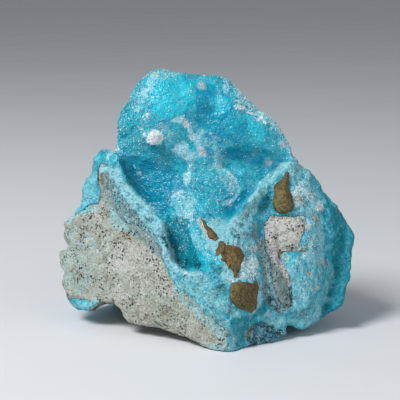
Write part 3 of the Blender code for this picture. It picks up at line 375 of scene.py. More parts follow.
# Colours of the front by layer: what it is, how much of it is covered, outline in pixels of the picture
ZONES = {
    # Deep blue: partly the crust's own deeper blue, partly painted shade in the recess, under the ledge and
    # on the outer left edge
    "deep": (
        ("blue of the recess", 1.0, ((120, 158), (140, 157), (160, 163), (172, 168), (184, 178), (188, 192),
            (174, 198), (168, 212), (160, 214), (148, 204), (135, 190), (126, 176))),
        # Painted shade under the overhanging ledge
        ("under the ledge", 0.9, ((226, 146), (240, 149), (255, 152), (266, 156), (262, 165), (248, 163),
            (232, 161), (226, 154))),
        ("slope above the gutter", 0.9, ((226, 196), (240, 193), (257, 187), (247, 200), (240, 211),
            (228, 219), (222, 208))),
        ("right side of the vug", 0.6, ((196, 88), (214, 86), (226, 96), (236, 112), (246, 124), (244, 138),
            (228, 142), (212, 138), (202, 124), (196, 106))),
        ("dark of the valley above the ledge", 0.8, ((196, 98), (208, 104), (216, 116), (226, 130),
            (240, 142), (228, 144), (214, 142), (204, 134), (196, 120))),
        ("shade on the outer left edge", 0.5, ((80, 160), (88, 150), (94, 160), (94, 180), (90, 200),
            (80, 204), (77, 184))),
    ),
    # Teal: partly the crust's own darker tone and green stains, partly painted shade in the pocket, under
    # the right rim, in the hollow beside the large lump and on faces turned from the light, such as the
    # lobe's outer side and the face below the large lump
    "teal": (
        ("pocket", 0.9, ((166, 218), (178, 217), (188, 220), (190, 232), (193, 245), (200, 257), (202, 266),
            (192, 270), (180, 266), (174, 256), (170, 244), (164, 232))),
        ("outer side of the lobe", 0.9, ((316, 180), (327, 193), (333, 205), (352, 215), (358, 240),
            (352, 290), (336, 322), (320, 322), (316, 312), (322, 298), (332, 285), (334, 275), (330, 262),
            (331, 250), (331, 234), (330, 218), (326, 203))),
        ("face below the large lump", 0.8, ((232, 313), (243, 315), (250, 316), (256, 318), (249, 325),
            (244, 334), (240, 343), (234, 348), (228, 350), (232, 338), (234, 325))),
        ("hollow beside the large lump", 0.8, ((219, 284), (227, 286), (229, 294), (225, 297), (219, 292))),
        ("under the rim", 0.7, ((263, 196), (271, 197), (270, 206), (264, 210), (262, 222), (263, 238),
            (256, 242), (252, 236), (256, 222), (257, 208))),
        ("beside the large lump", 0.8, ((259, 300), (266, 300), (268, 308), (262, 316), (252, 318),
            (250, 314), (256, 308))),
        ("bits below the middle lump", 0.75, ((209, 262), (216, 262), (224, 268), (222, 274), (213, 272),
            (209, 267))),
        ("shaded side of the valley", 0.7, ((257, 236), (263, 234), (266, 250), (268, 268), (266, 286),
            (262, 292), (260, 270), (257, 250))),
        ("green face of the corner", 0.6, ((226, 322), (236, 318), (244, 326), (242, 340), (234, 350),
            (228, 344), (230, 332))),
        ("shade at the left end of the crust", 0.45, ((80, 160), (88, 150), (96, 160), (98, 174), (94, 190),
            (90, 202), (80, 204), (77, 184))),
        ("green stain below the lumps", 0.35, ((196, 290), (208, 292), (220, 300), (228, 310), (222, 314),
            (208, 304))),
    ),
    # Bright blue: partly the crust's own paler blue, partly painted light on tops that face the light, the
    # dome's top and the left lobe's top
    "sky": (
        ("dome", 0.65, ((150, 72), (166, 70), (182, 76), (190, 90), (187, 108), (176, 115), (160, 118),
            (151, 108), (147, 94), (146, 82))),
        ("beside the dome", 0.6, ((211, 97), (221, 94), (230, 99), (230, 108), (222, 112), (212, 108))),
        ("right of the dome", 0.6, ((249, 120), (258, 121), (265, 130), (265, 143), (256, 145),
            (250, 134))),
        ("outer left edge", 0.2, ((82, 150), (90, 146), (98, 150), (99, 170), (98, 190), (96, 206),
            (84, 207), (80, 190), (80, 168))),
        ("left lobe's top", 0.6, ((60, 214), (70, 205), (84, 200), (94, 204), (90, 212), (74, 214),
            (62, 222))),
    ),
    "cyan": (
        ("below the pocket", 0.75, ((168, 270), (182, 277), (198, 279), (206, 276), (214, 284), (220, 293),
            (228, 297), (230, 305), (236, 311), (243, 314), (240, 319), (228, 315), (214, 307), (202, 300),
            (188, 292), (175, 284))),
        ("lower lip", 0.8, ((266, 317), (276, 315), (290, 318), (303, 318), (313, 310), (320, 300),
            (324, 297), (320, 312), (313, 325), (303, 326), (290, 324), (276, 325), (268, 321))),
        ("lobe's edge", 0.7, ((325, 262), (331, 262), (333, 275), (331, 285), (322, 296), (318, 306),
            (311, 313), (307, 309), (316, 296), (324, 282))),
        ("top of the lobe", 0.75, ((290, 178), (300, 176), (309, 181), (317, 190), (320, 200), (314, 212),
            (303, 212), (297, 206), (294, 196), (290, 188))),
        ("middle of the lobe", 0.5, ((299, 234), (306, 230), (315, 232), (319, 240), (316, 252), (308, 260),
            (299, 257), (296, 246))),
        ("left lobe's crust", 0.6, ((84, 182), (92, 172), (99, 170), (98, 184), (96, 200), (90, 206),
            (83, 206), (82, 194))),
        ("tip under the left lobe", 0.8, ((70, 300), (80, 303), (90, 302), (96, 300), (101, 304), (94, 308),
            (84, 309), (74, 305))),
        ("blue tinge on the broken face", 0.45, ((108, 192), (118, 200), (126, 209), (133, 219), (137, 230),
            (134, 234), (124, 232), (115, 231), (110, 222), (109, 208))),
        ("crust fading out on the rock", 0.5, ((176, 284), (190, 292), (204, 302), (216, 312), (228, 322),
            (236, 332), (234, 346), (222, 340), (208, 328), (196, 316), (182, 302), (172, 290))),
        ("pale stripe above the wedge", 0.6, ((256, 316), (264, 315), (276, 322), (286, 328), (280, 329),
            (268, 323), (258, 319))),
        ("bluish side of the broken face", 0.3, ((62, 230), (80, 226), (96, 236), (98, 262), (92, 286),
            (76, 298), (64, 280), (60, 250))),
    ),
    "frost": (
        ("knob on the rim", 0.6, ((222, 160), (219, 158), (215, 160), (214, 164), (217, 168), (222, 167),
            (224, 163))),
        ("arc on the dome", 0.75, ((171, 121), (177, 116), (184, 117), (189, 122), (192, 129), (198, 135),
            (201, 150), (198, 154), (194, 141), (188, 133), (184, 126), (176, 122))),
        ("cloud below the dome", 0.6, ((178, 143), (184, 140), (189, 144), (192, 150), (204, 152),
            (203, 158), (196, 160), (191, 164), (184, 160), (177, 155), (171, 150))),
        ("streak", 0.55, ((190, 160), (196, 160), (194, 167), (191, 175), (190, 182), (186, 188),
            (183, 181), (185, 171))),
        ("round knob", 0.5, ((172, 206), (174, 198), (181, 193), (190, 195), (195, 201), (194, 209),
            (189, 215), (182, 216), (175, 213))),
        ("cloud on the right", 0.45, ((211, 147), (216, 143), (219, 150), (224, 156), (223, 163),
            (227, 170), (234, 177), (237, 184), (236, 191), (231, 198), (226, 193), (222, 185), (218, 176),
            (214, 166), (212, 156))),
        ("spot near the top", 0.5, ((222, 78), (228, 79), (231, 86), (228, 94), (222, 89))),
        # Pale frosted crust with a painted sheen along the dome's right edge
        ("sheen on the right edge", 0.6, ((238, 84), (248, 92), (260, 103), (272, 113), (284, 125),
            (292, 140), (296, 157), (291, 164), (287, 150), (279, 134), (266, 122), (252, 112), (240, 100),
            (233, 90))),
        # Pale frosted crust with a painted sheen along the dome's left edge
        ("sheen on the left edge", 0.5, ((143, 85), (152, 72), (164, 66), (176, 68), (180, 74), (170, 79),
            (158, 82), (151, 92), (144, 106), (137, 116), (133, 108), (137, 95))),
        ("bank below the cloud", 0.2, ((197, 160), (212, 160), (217, 178), (224, 192), (222, 206),
            (210, 214), (199, 209), (195, 196), (190, 186), (193, 172))),
        ("ridge", 0.4, ((188, 214), (192, 216), (193, 226), (200, 232), (208, 240), (216, 250), (218, 262),
            (208, 262), (200, 252), (194, 243), (190, 232))),
        ("head of the rim", 0.5, ((212, 217), (222, 217), (232, 222), (236, 234), (246, 240), (252, 236),
            (256, 244), (250, 254), (240, 246), (228, 242), (218, 232))),
        ("clouds on the dome", 0.4, ((158, 120), (170, 124), (176, 132), (184, 140), (176, 146), (166, 148),
            (160, 140), (154, 128))),
        ("clouds beside the arc", 0.35, ((192, 130), (204, 126), (214, 132), (222, 142), (212, 146),
            (202, 146), (196, 140))),
        ("mottled front of the lobe", 0.5, ((292, 200), (304, 196), (318, 204), (324, 222), (324, 246),
            (322, 264), (322, 282), (314, 298), (304, 310), (292, 308), (290, 296), (288, 280), (284, 268),
            (292, 256), (304, 250), (305, 236), (304, 222), (296, 214))),
        ("rim of the knob on the right", 0.7, ((206, 168), (214, 164), (226, 168), (236, 178), (240, 190),
            (234, 202), (222, 206), (222, 202), (232, 197), (236, 189), (232, 180), (223, 172), (214, 169),
            (208, 172))),
        ("rim of the pale knob", 0.65, ((170, 206), (172, 196), (180, 190), (190, 191), (197, 199),
            (196, 210), (190, 217), (180, 218), (172, 213), (175, 211), (181, 214), (189, 213), (193, 207),
            (193, 200), (188, 195), (181, 194), (175, 199), (173, 206))),
    ),
    "rind": (
        ("left rim", 0.8, ((98, 168), (106, 166), (115, 166), (121, 170), (123, 178), (129, 185),
            (137, 194), (143, 200), (152, 207), (157, 216), (164, 222), (168, 231), (169, 241), (173, 247),
            (175, 257), (179, 266), (188, 271), (200, 270), (206, 276), (196, 279), (180, 276), (168, 270),
            (163, 260), (161, 246), (154, 237), (147, 232), (137, 230), (133, 219), (126, 209), (118, 200),
            (112, 190), (106, 180))),
        ("right rim", 0.8, ((297, 155), (291, 161), (281, 163), (275, 169), (263, 178), (252, 193),
            (247, 203), (238, 213), (227, 221), (230, 231), (235, 237), (243, 240), (249, 236), (250, 222),
            (256, 210), (260, 200), (266, 192), (273, 184), (279, 175), (288, 168), (296, 163),
            (300, 160))),
        ("end of the rim", 0.75, ((288, 168), (297, 157), (305, 163), (312, 172), (308, 180), (300, 176),
            (292, 180), (287, 176))),
        # A painted highlight: a thin pale line along the left lobe's edge, over its granular crust
        ("left lobe's edge", 0.6, ((60, 224), (74, 214), (93, 210), (97, 199), (99, 208), (93, 214),
            (76, 219), (64, 228))),
        ("foot of the corner", 0.55, ((200, 338), (212, 343), (226, 343), (233, 338), (234, 347),
            (229, 351), (214, 348), (203, 344))),
        ("ridge with the lumps", 0.75, ((206, 226), (214, 219), (226, 221), (234, 234), (248, 240),
            (256, 250), (259, 266), (262, 282), (262, 300), (256, 310), (250, 314), (246, 302), (258, 284),
            (244, 280), (228, 284), (220, 276), (222, 262), (214, 252), (206, 244), (202, 234))),
        ("dust between rim and rock", 0.5, ((110, 196), (122, 206), (134, 218), (144, 230), (152, 240),
            (140, 240), (128, 232), (116, 222), (108, 210))),
    ),
    "grey": (
        ("valley", 0.9, ((258, 240), (264, 236), (268, 244), (272, 256), (278, 268), (285, 278), (291, 292),
            (294, 304), (287, 312), (276, 313), (268, 306), (262, 296), (261, 280), (260, 262),
            (257, 250))),
        ("beside the rim", 0.5, ((249, 222), (256, 222), (258, 236), (256, 244), (250, 240), (247, 232))),
        ("rock showing through the crust", 0.5, ((182, 288), (198, 297), (212, 306), (226, 314), (232, 326),
            (228, 338), (214, 326), (200, 312), (186, 300))),
        ("dusty bank right of the valley", 0.5, ((270, 262), (278, 266), (287, 276), (292, 290), (296, 302),
            (288, 306), (280, 292), (272, 276))),
        ("thickness of the crust on the left rim", 0.75, ((106, 170), (116, 184), (125, 198), (133, 208),
            (141, 218), (149, 227), (157, 237), (162, 250), (164, 262), (156, 256), (147, 246), (137, 237),
            (127, 228), (117, 217), (108, 202), (102, 190), (101, 176))),
        ("dusty foot of the lobe", 0.45, ((286, 300), (298, 306), (308, 304), (314, 312), (302, 318),
            (288, 318), (280, 310))),
        ("dusty crust below the pocket", 0.35, ((172, 272), (190, 276), (208, 276), (222, 284), (232, 300),
            (238, 316), (226, 318), (212, 306), (196, 296), (182, 288))),
    ),
    # Painted shade: dark teal laid where shade falls, at the foot of the pocket, in holes, notches and
    # cracks, low in the valley, along the left rim's seam, under the tall lump and on the wedge that faces
    # away from the light
    "painted_shade": (
        ("foot of the pocket", 0.4, ((176, 257), (190, 261), (202, 262), (201, 271), (188, 271),
            (178, 268))),
        ("hole in the right rim", 0.5, ((239, 222), (244, 221), (246, 226), (242, 229), (238, 226))),
        ("notch in the right rim", 0.5, ((233, 230), (240, 231), (242, 238), (236, 240), (231, 235))),
        ("wedge at the foot", 0.8, ((250, 325), (258, 319), (266, 321), (276, 326), (284, 331), (276, 338),
            (262, 342), (249, 345), (246, 338))),
        ("low in the valley", 0.6, ((264, 297), (272, 296), (280, 300), (283, 309), (276, 313),
            (268, 309))),
        ("below the tall lump's left", 0.5, ((265, 194), (271, 190), (273, 200), (270, 206), (264, 204))),
        ("seam along the left rim", 0.5, ((139, 212), (146, 216), (157, 224), (161, 233), (169, 243),
            (170, 258), (166, 259), (165, 244), (157, 235), (154, 227), (144, 219), (138, 215))),
        ("streaks of the wedge", 0.5, ((252, 332), (262, 326), (274, 328), (284, 330), (276, 336),
            (262, 339), (252, 342))),
        ("dark crack beside the grey patch", 0.9, ((269, 243), (273, 249), (278, 258), (284, 266),
            (289, 273), (291, 284), (292, 300), (289, 301), (288, 285), (285, 275), (280, 268), (274, 260),
            (270, 251))),
        ("shadow under the tall lump", 0.6, ((272, 216), (284, 217), (294, 217), (294, 219), (283, 220),
            (272, 219))),
        ("crack in the lobe", 0.5, ((296, 262), (300, 268), (305, 280), (306, 292), (304, 292), (302, 280),
            (297, 270), (294, 263))),
        ("edge under the rim", 0.5, ((233, 214), (240, 217), (248, 214), (250, 217), (242, 221),
            (234, 219))),
    ),
    "pink": (
        ("spot on the arc", 0.6, ((183, 120), (187, 119), (189, 124), (186, 127), (183, 125))),
        ("blush near the top", 0.5, ((198, 81), (203, 80), (207, 84), (203, 88), (198, 87))),
        ("end of the cloud", 0.6, ((199, 148), (205, 149), (208, 153), (203, 157), (199, 154))),
        ("on the right edge", 0.6, ((279, 140), (284, 139), (286, 145), (282, 148), (278, 145))),
        ("lavender spot", 0.6, ((266, 160), (271, 159), (273, 163), (269, 166), (265, 164))),
        ("above the middle lump", 0.6, ((250, 246), (255, 246), (256, 251), (252, 253), (249, 250))),
        ("on the lower lip", 0.6, ((266, 311), (271, 310), (273, 315), (269, 317), (265, 315))),
        ("blush on the face", 0.45, ((112, 260), (122, 258), (130, 262), (128, 270), (116, 270))),
        ("strip beside the grey patch", 0.6, ((264, 222), (272, 218), (276, 222), (275, 234), (276, 246),
            (281, 256), (287, 268), (291, 280), (289, 286), (284, 278), (277, 268), (270, 256), (266, 244),
            (264, 232))),
    ),
    "ochre": (
        ("yellow grains on the lobe", 0.5, ((303, 269), (310, 268), (314, 273), (311, 278), (304, 275))),
        ("yellow grains lower", 0.5, ((312, 286), (319, 284), (321, 289), (315, 293))),
        ("yellow grains at the top", 0.5, ((152, 70), (162, 71), (168, 76), (165, 80), (156, 77))),
        ("peach spot", 0.5, ((281, 256), (288, 254), (288, 261), (282, 264))),
    ),
    "brown": (
        # Painted shadow below the grey patch's overhanging ledge
        ("under the grey patch", 0.8, ((278, 249), (284, 250), (294, 249), (306, 249), (306, 252),
            (294, 252), (284, 253), (283, 260), (279, 260), (277, 254))),
        ("stain on the left", 0.55, ((86, 228), (92, 229), (98, 231), (97, 234), (90, 233), (86, 231))),
        ("stain below the rim", 0.4, ((121, 231), (132, 232), (130, 240), (124, 241))),
        ("second stain below the rim", 0.4, ((139, 233), (147, 234), (146, 241), (141, 240))),
        ("stain low on the face", 0.45, ((143, 313), (150, 311), (151, 317), (145, 319))),
        ("warm patch", 0.35, ((130, 246), (142, 243), (152, 250), (150, 262), (140, 262), (134, 256))),
        ("crack in the wedge", 0.8, ((258, 316), (252, 322), (246, 330), (243, 337), (247, 338), (251, 330),
            (256, 323))),
        ("red spot", 0.7, ((225, 278), (228, 278), (228, 284), (225, 284))),
        ("spot low on the lobe's edge", 0.7, ((321, 262), (326, 261), (326, 266), (322, 266))),
        ("head of the left rim", 0.7, ((99, 176), (103, 172), (105, 178), (106, 186), (109, 193),
            (106, 192), (102, 185))),
        # Partly the brown foot of the rock, partly painted shade under the arch
        ("under the arch", 0.8, ((96, 306), (104, 302), (114, 305), (122, 312), (128, 322), (116, 322),
            (100, 318), (92, 312))),
        ("brownish foot of the broken face", 0.35, ((122, 300), (150, 296), (182, 306), (206, 322),
            (218, 338), (200, 342), (172, 330), (142, 322), (122, 314))),
    ),
    "white": (
        ("ball", 1.0, ((147, 138), (149, 132), (154, 130), (160, 133), (162, 139), (159, 145), (153, 146),
            (148, 143))),
        ("crystals above the ball", 0.3, ((143, 113), (150, 111), (154, 118), (149, 124), (146, 130),
            (149, 133), (146, 138), (139, 138), (135, 131), (138, 122))),
        ("crystals in the left corner", 0.5, ((116, 144), (121, 147), (121, 153), (114, 153), (107, 162),
            (105, 158), (111, 150))),
        ("crystals below the ball", 0.45, ((135, 166), (140, 169), (145, 177), (148, 182), (144, 183),
            (138, 176))),
        ("crystals on the right edge", 0.45, ((229, 96), (237, 98), (247, 105), (258, 113), (267, 120),
            (265, 124), (254, 119), (243, 112), (233, 105))),
        ("crystals on the arc", 0.5, ((185, 119), (190, 124), (191, 131), (194, 137), (190, 141),
            (186, 134), (183, 127))),
        # Partly white crystals, partly a painted highlight along the pocket's rim
        ("crest below the pocket", 0.3, ((166, 250), (170, 250), (172, 258), (176, 264), (183, 269),
            (191, 271), (197, 270), (201, 265), (203, 267), (201, 273), (194, 276), (183, 275), (172, 271),
            (165, 263))),
        ("bank beside the middle lump", 0.5, ((237, 257), (248, 252), (256, 256), (258, 268), (257, 280),
            (248, 280), (238, 281), (230, 283), (226, 277), (234, 277), (240, 268))),
        ("crust piece on the left rim", 0.15, ((137, 199), (143, 199), (152, 206), (155, 214), (152, 218),
            (145, 213), (139, 206))),
        ("white patch on the lobe", 0.5, ((314, 202), (320, 200), (325, 203), (325, 209), (320, 212),
            (314, 209))),
        ("pale places of the lobe", 0.3, ((303, 222), (312, 224), (318, 236), (316, 250), (306, 258),
            (300, 264), (292, 262), (292, 253), (302, 250), (304, 236))),
        ("pale top of the lobe", 0.45, ((288, 196), (296, 184), (304, 180), (312, 188), (316, 198),
            (306, 206), (298, 212), (294, 204))),
        ("beads beside the tall lump", 0.4, ((294, 200), (302, 196), (306, 206), (302, 214), (296, 210))),
        ("pale flecks of the broken face", 0.25, ((96, 240), (120, 250), (140, 262), (160, 286), (150, 300),
            (120, 292), (100, 276))),
    ),
    "ash": (
        ("grey patch", 0.9, ((275, 219), (284, 218), (294, 219), (303, 222), (303, 230), (300, 240),
            (300, 249), (290, 251), (281, 250), (277, 240), (275, 230))),
        ("cream spot beside the tall lump", 0.7, ((294, 196), (300, 194), (304, 199), (302, 205),
            (296, 204))),
        ("cream spot on the lobe's edge", 0.6, ((312, 215), (318, 214), (320, 219), (316, 223),
            (311, 220))),
        ("beads on the lobe", 0.6, ((299, 222), (304, 220), (308, 226), (304, 231), (300, 228))),
        ("spot low on the lobe", 0.7, ((320, 260), (326, 260), (327, 266), (323, 269), (319, 265))),
        ("above the middle lump", 0.6, ((221, 243), (230, 241), (238, 246), (241, 252), (232, 256),
            (224, 262), (220, 252))),
        ("around the small lump", 0.6, ((197, 221), (202, 218), (205, 226), (210, 234), (214, 242),
            (208, 240), (202, 232))),
        ("beige middle of the broken face", 0.5, ((118, 240), (140, 242), (156, 256), (168, 276),
            (176, 292), (160, 296), (138, 288), (120, 272), (110, 256))),
    ),
    # Where the crystals take more painted sparkle, and where more crystals grow
    "sparkle": (
        ("left edge of the dome", 1.0, ((120, 100), (134, 84), (150, 70), (166, 66), (176, 72), (160, 84),
            (150, 100), (156, 118), (150, 142), (136, 156), (120, 160), (112, 150))),
        ("right edge of the dome", 1.0, ((222, 72), (236, 82), (252, 96), (270, 110), (286, 128),
            (294, 146), (286, 152), (272, 136), (256, 122), (240, 110), (228, 96), (220, 84))),
        ("round the pale knob", 0.8, ((166, 198), (172, 190), (184, 190), (198, 196), (200, 210),
            (190, 222), (176, 222), (168, 212))),
        ("middle of the vug", 0.7, ((196, 176), (206, 160), (222, 160), (238, 176), (240, 196), (226, 210),
            (206, 214), (196, 200))),
    ),
}


def linear_colour(label, linear):
    return FloatVectorProperty(name=label, description=f"Colour of the {label.lower()}", subtype="COLOR",
                               size=3, min=0.0, max=1.0, default=linear)


def colour(label, red, green, blue):
    """A colour that is given in the usual 0 to 255."""
    return linear_colour(label, tuple((c / 255) ** 2.2 for c in (red, green, blue)))


def length(label, description, default):
    return FloatProperty(name=label, description=description, default=default * MM, min=0.0,
                         unit="LENGTH", subtype="DISTANCE", precision=5)


def spot(label, description, default):
    return FloatVectorProperty(name=label, description=description, default=default, unit="LENGTH",
                               subtype="TRANSLATION")


def turned(label, description, degrees):
    return FloatProperty(name=label, description=description, default=math.radians(degrees),
                         unit="ROTATION")


def setting(label, description, default):
    return FloatProperty(name=label, description=description, default=default, min=0.0)


class SpecimenSizes(bpy.types.PropertyGroup):
    """Sizes of the fine surface."""

    cell: length("Grid cell", "Fineness of the stone's surface", 0.62)
    quick_cell: length("Quick grid cell", "The same for a quick look", 1.0)
    lump_cell: length("Lump cell", "Fineness of a lump's surface", 0.3)
    rock_sunk: length("Rock sunk", "How far the bare rock lies below the crust's surface", 0.15)
    rock_under: length("Rock under crust", "How far the host rock runs under the crust", 1.0)
    blade: length("Crystal length", "Length of a crystal of the druse", 0.58)
    druse: IntProperty(name="Crystals", description="How many crystals the druse has", default=9000, min=0)


class SpecimenColours(bpy.types.PropertyGroup):
    """Colours of the crust, the rock and the lumps."""

    crust: colour("Crust", 0, 168, 190)
    crust_deep: colour("Crust in the hollows", 0, 146, 172)
    # The crust's deeper blue, also used as painted shade in the recess, under the ledge and in the seams
    # between knobs
    deep: colour("Deep blue", 0, 142, 172)
    # The crust's darker tone, also used as painted shade in the pocket, under the right rim and on faces
    # turned from the light
    teal: colour("Teal", 0, 128, 146)
    # The crust's paler blue, also used as painted light on the dome's top
    sky: colour("Bright blue", 44, 196, 218)
    cyan: colour("Pale cyan", 122, 196, 206)
    frost: colour("Frost", 160, 214, 226)
    rind: colour("Granular rim", 140, 200, 210)
    grey: colour("Grey valley", 118, 144, 146)
    # Painted shade: the dark teal laid in hollows, cracks and on faces turned from the light
    painted_shade: colour("Dark hollow", 6, 66, 80)
    pink: colour("Pinkish stain", 206, 198, 202)
    ochre: colour("Yellow grains", 190, 184, 130)
    # Brown stains, also used as painted shadow under the grey patch's ledge and painted shade under the
    # arch
    brown: colour("Brown stain", 104, 84, 62)
    # White crystals, also used as the colour of the painted sparkle on the crust and the druse
    white: colour("White crystals", 236, 244, 246)
    ash: colour("Grey-white patch", 184, 186, 178)
    rock: colour("Host rock", 160, 170, 158)
    rock_dark: colour("Host rock, darker", 132, 132, 116)
    specks: colour("Specks of the host rock", 30, 26, 22)
    limonite: colour("Limonite", 126, 114, 70)
    limonite_dark: colour("Limonite, darker", 66, 56, 36)
    limonite_rust: colour("Limonite, rusty", 128, 88, 46)


class SpecimenStage(bpy.types.PropertyGroup):
    """Floor, camera and light."""

    floor: colour("Floor", 226, 228, 232)
    floor_cloud: linear_colour("Clouds on the floor", (0.4, 0.4, 0.4))
    floor_size: length("Floor size", "Side of the floor", 20000.0)
    eye: spot("Camera place", "Where the camera stands", (-0.0002, -0.48371, 0.12941))
    pitch: turned("Camera pitch", "How far the camera looks down", 9.93)
    turn: turned("Camera turn", "How far the camera is turned to the left", 0.207)
    lens: setting("Lens", "Focal length in millimetres", 125.55)
    key: setting("Main light", "Power of the main light in watts", 11.0)
    key_place: spot("Main light place", "Where the main light hangs", (-0.55, -0.45, 0.85))
    key_size: length("Main light size", "Side of the main light", 400.0)
    fill: setting("Second light", "Power of the second light in watts", 2.0)
    fill_place: spot("Second light place", "Where the second light hangs", (0.8, -0.6, 0.4))
    fill_size: length("Second light size", "Side of the second light", 900.0)
    lit: spot("Lit place", "What both lights shine at", (0.0, 0.0, 0.04))
    air: setting("Surrounding light", "Strength of the light from all round", 0.28)
    air_colour: linear_colour("Surrounding light", (0.86, 0.9, 0.95))


def sketch_to_object(u, v, w):
    """x, y, z of a place on or behind the sketch plane."""
    return u, w * math.cos(LEAN) + v * math.sin(LEAN), v * math.cos(LEAN) - w * math.sin(LEAN)


def centred(points):
    """The same, for rows of u, v, w, with the middle of the stone's box over the origin."""
    x, y, z = sketch_to_object(points[:, 0], points[:, 1], points[:, 2])
    return np.stack([x - MIDDLE[0], y - MIDDLE[1], z], axis=-1)


def unit(rows):
    return rows / np.linalg.norm(rows, axis=1)[:, None]


def smooth_max(a, b, width):
    blend = np.maximum(width - np.abs(a - b), 0.0)
    return np.maximum(a, b) + blend * blend / (4 * width)


def smooth_min(a, b, width):
    return -smooth_max(-a, -b, width)


def ramp(value, low, high):
    """0 below low, 1 above high, smooth in between."""
    t = np.clip((value - low) / (high - low), 0.0, 1.0)
    return t * t * (3 - 2 * t)


def rounded(points, steps):
    """A closed outline drawn through its points as a smooth curve."""
    p = np.asarray(points, float)
    before, after, beyond = (np.roll(p, shift, axis=0) for shift in (1, -1, -2))
    stretch = []
    for t in np.arange(steps) / steps:
        bend = (2 * before - 5 * p + 4 * after - beyond) * t ** 2
        twist = (3 * p - before - 3 * after + beyond) * t ** 3
        stretch.append(0.5 * (2 * p + (after - before) * t + bend + twist))
    return np.stack(stretch, axis=1).reshape(-1, 2)


def line_distance(points, u, v, closed=False):
    """Distance to a line of points; negative inside, for a closed one."""
    p = np.asarray(points, float)
    ends = np.roll(p, -1, axis=0) if closed else p[1:]
    nearest = np.full(u.shape, np.inf)
    inside = np.zeros(u.shape, bool)
    for (ax, ay), (bx, by) in zip(p, ends):
        ex, ey = bx - ax, by - ay
        t = np.clip(((u - ax) * ex + (v - ay) * ey) / (ex * ex + ey * ey), 0.0, 1.0)
        nearest = np.minimum(nearest, (u - ax - t * ex) ** 2 + (v - ay - t * ey) ** 2)
        if closed and ay != by:
            inside ^= ((ay > v) != (by > v)) & (u < ax + (v - ay) * ex / ey)
    return np.where(inside, -1.0, 1.0) * np.sqrt(nearest)


def inside_outline(points, u, v, steps=3):
    """Distance to a rounded outline, negative inside."""
    return line_distance(rounded(points, steps), u, v, closed=True)


def sheet(points, ease=2.0):
    """A smooth surface w(u, v) close to named points: a thin plate bent over them."""
    p = np.array([row[1:] for row in points], float)
    count = len(p)
    span = np.hypot(p[:, None, 0] - p[None, :, 0], p[:, None, 1] - p[None, :, 1])
    system = np.zeros((count + 3, count + 3))
    system[:count, :count] = span ** 2 * np.log(span + TINY) + ease * np.eye(count)
    system[:count, count] = system[count, :count] = 1
    system[:count, count + 1:] = p[:, :2]
    system[count + 1:, :count] = p[:, :2].T
    weights = np.linalg.solve(system, np.append(p[:, 2], np.zeros(3)))

    def height(u, v):
        total = weights[count] + weights[count + 1] * u + weights[count + 2] * v
        for (pu, pv, _), weight in zip(p, weights):
            square = (u - pu) ** 2 + (v - pv) ** 2
            total = total + weight * 0.5 * square * np.log(square + TINY)
        return total

    return height


def scatter(cell, seed):
    """Three even random numbers from 0 to 1 for each whole-numbered cell, always the same ones."""
    n = cell.astype(np.int64)
    mixed = (n[..., 0] * MIX_CELL[0]) ^ (n[..., 1] * MIX_CELL[1]) ^ (n[..., 2] * MIX_CELL[2])
    mixed = mixed ^ (seed * MIX_PATTERN)
    out = []
    for k in range(3):
        h = (mixed + k * MIX_NUMBER) & 0xFFFFFFFF
        h = ((h ^ (h >> 16)) * MIX_BITS) & 0xFFFFFFFF
        h = ((h ^ (h >> 16)) * MIX_BITS) & 0xFFFFFFFF
        out.append(((h ^ (h >> 16)) & 0xFFFFFF) / 0xFFFFFF)
    return np.stack(out, axis=-1)


def waves(place, size, height, seed):
    """Soft random waves of the given size, from about -height to height."""
    q = place / size
    low = np.floor(q)
    t = q - low
    t = t * t * (3 - 2 * t)
    total = np.zeros(place.shape[:-1])
    for corner in np.ndindex(2, 2, 2):
        c = np.array(corner)
        weight = np.prod(np.where(c == 1, t, 1 - t), axis=-1)
        total += weight * scatter(low + c, seed)[..., 0]
    return height * (2 * total - 1)


def knobs(place, size, height, seed):
    """Round knobs packed like grapes: height at the middle of a knob, 0 in the seams."""
    q = place / size
    low = np.floor(q)
    nearest = np.full(place.shape[:-1], np.inf)
    for corner in np.ndindex(3, 3, 3):
        cell = low + np.array(corner) - 1
        middle = cell + 0.5 + KNOB_SCATTER * (scatter(cell, seed) - 0.5)
        nearest = np.minimum(nearest, ((q - middle) ** 2).sum(axis=-1))
    return height * np.clip(1 - nearest / KNOB_SPREAD, 0.0, 1.0)


def broken_face(u, v):
    """w of the flat break on the left."""
    nx = -math.sin(BREAK_TURN) * math.cos(BREAK_LEAN)
    ny = -math.cos(BREAK_TURN) * math.cos(BREAK_LEAN)
    nz = math.sin(BREAK_LEAN)
    x, y, z = sketch_to_object(u, v, 0.0)
    offset = nx * (x - BREAK_FOOT.x) + ny * (y - BREAK_FOOT.y) + nz * (z - BREAK_FOOT.z)
    return -offset / (ny * math.cos(LEAN) - nz * math.sin(LEAN))


def small_relief(u, v):
    """Ledges, cracks and pits of the front, as added depth."""
    depth = np.zeros(u.shape)
    for _, line, drop, reach in LEDGES:
        left, right = line[0][0], line[-1][0]
        below = np.interp(u, *zip(*line)) - v
        along = ramp(u, left - LEDGE_END, left + LEDGE_END)
        along = along * ramp(-u, -right - LEDGE_END, LEDGE_END - right)
        stretch = ramp(below, -LEDGE_EDGE, LEDGE_EDGE) - ramp(below, LEDGE_FULL * reach, reach)
        depth += drop * along * stretch
    for _, line, half_width, deep in CRACKS:
        depth += deep * np.exp(-(line_distance(line, u, v) / half_width) ** 2)
    for _, pu, pv, radius, deep in PITS:
        depth += deep * np.exp(-((u - pu) ** 2 + (v - pv) ** 2) / radius ** 2)
    return depth


def front_surfaces(u, v):
    """w of the vug's wall and of the front slab, and the distance from the rim, negative on the slab."""
    slab = inside_outline(RIM, u, v, steps=2)
    wall = sheet(WALL)(u, v) + np.maximum(-slab - WALL_RETREAT, 0.0)
    face = np.maximum(broken_face(u, v), sheet(FRONT)(u, v))
    return wall, face, slab


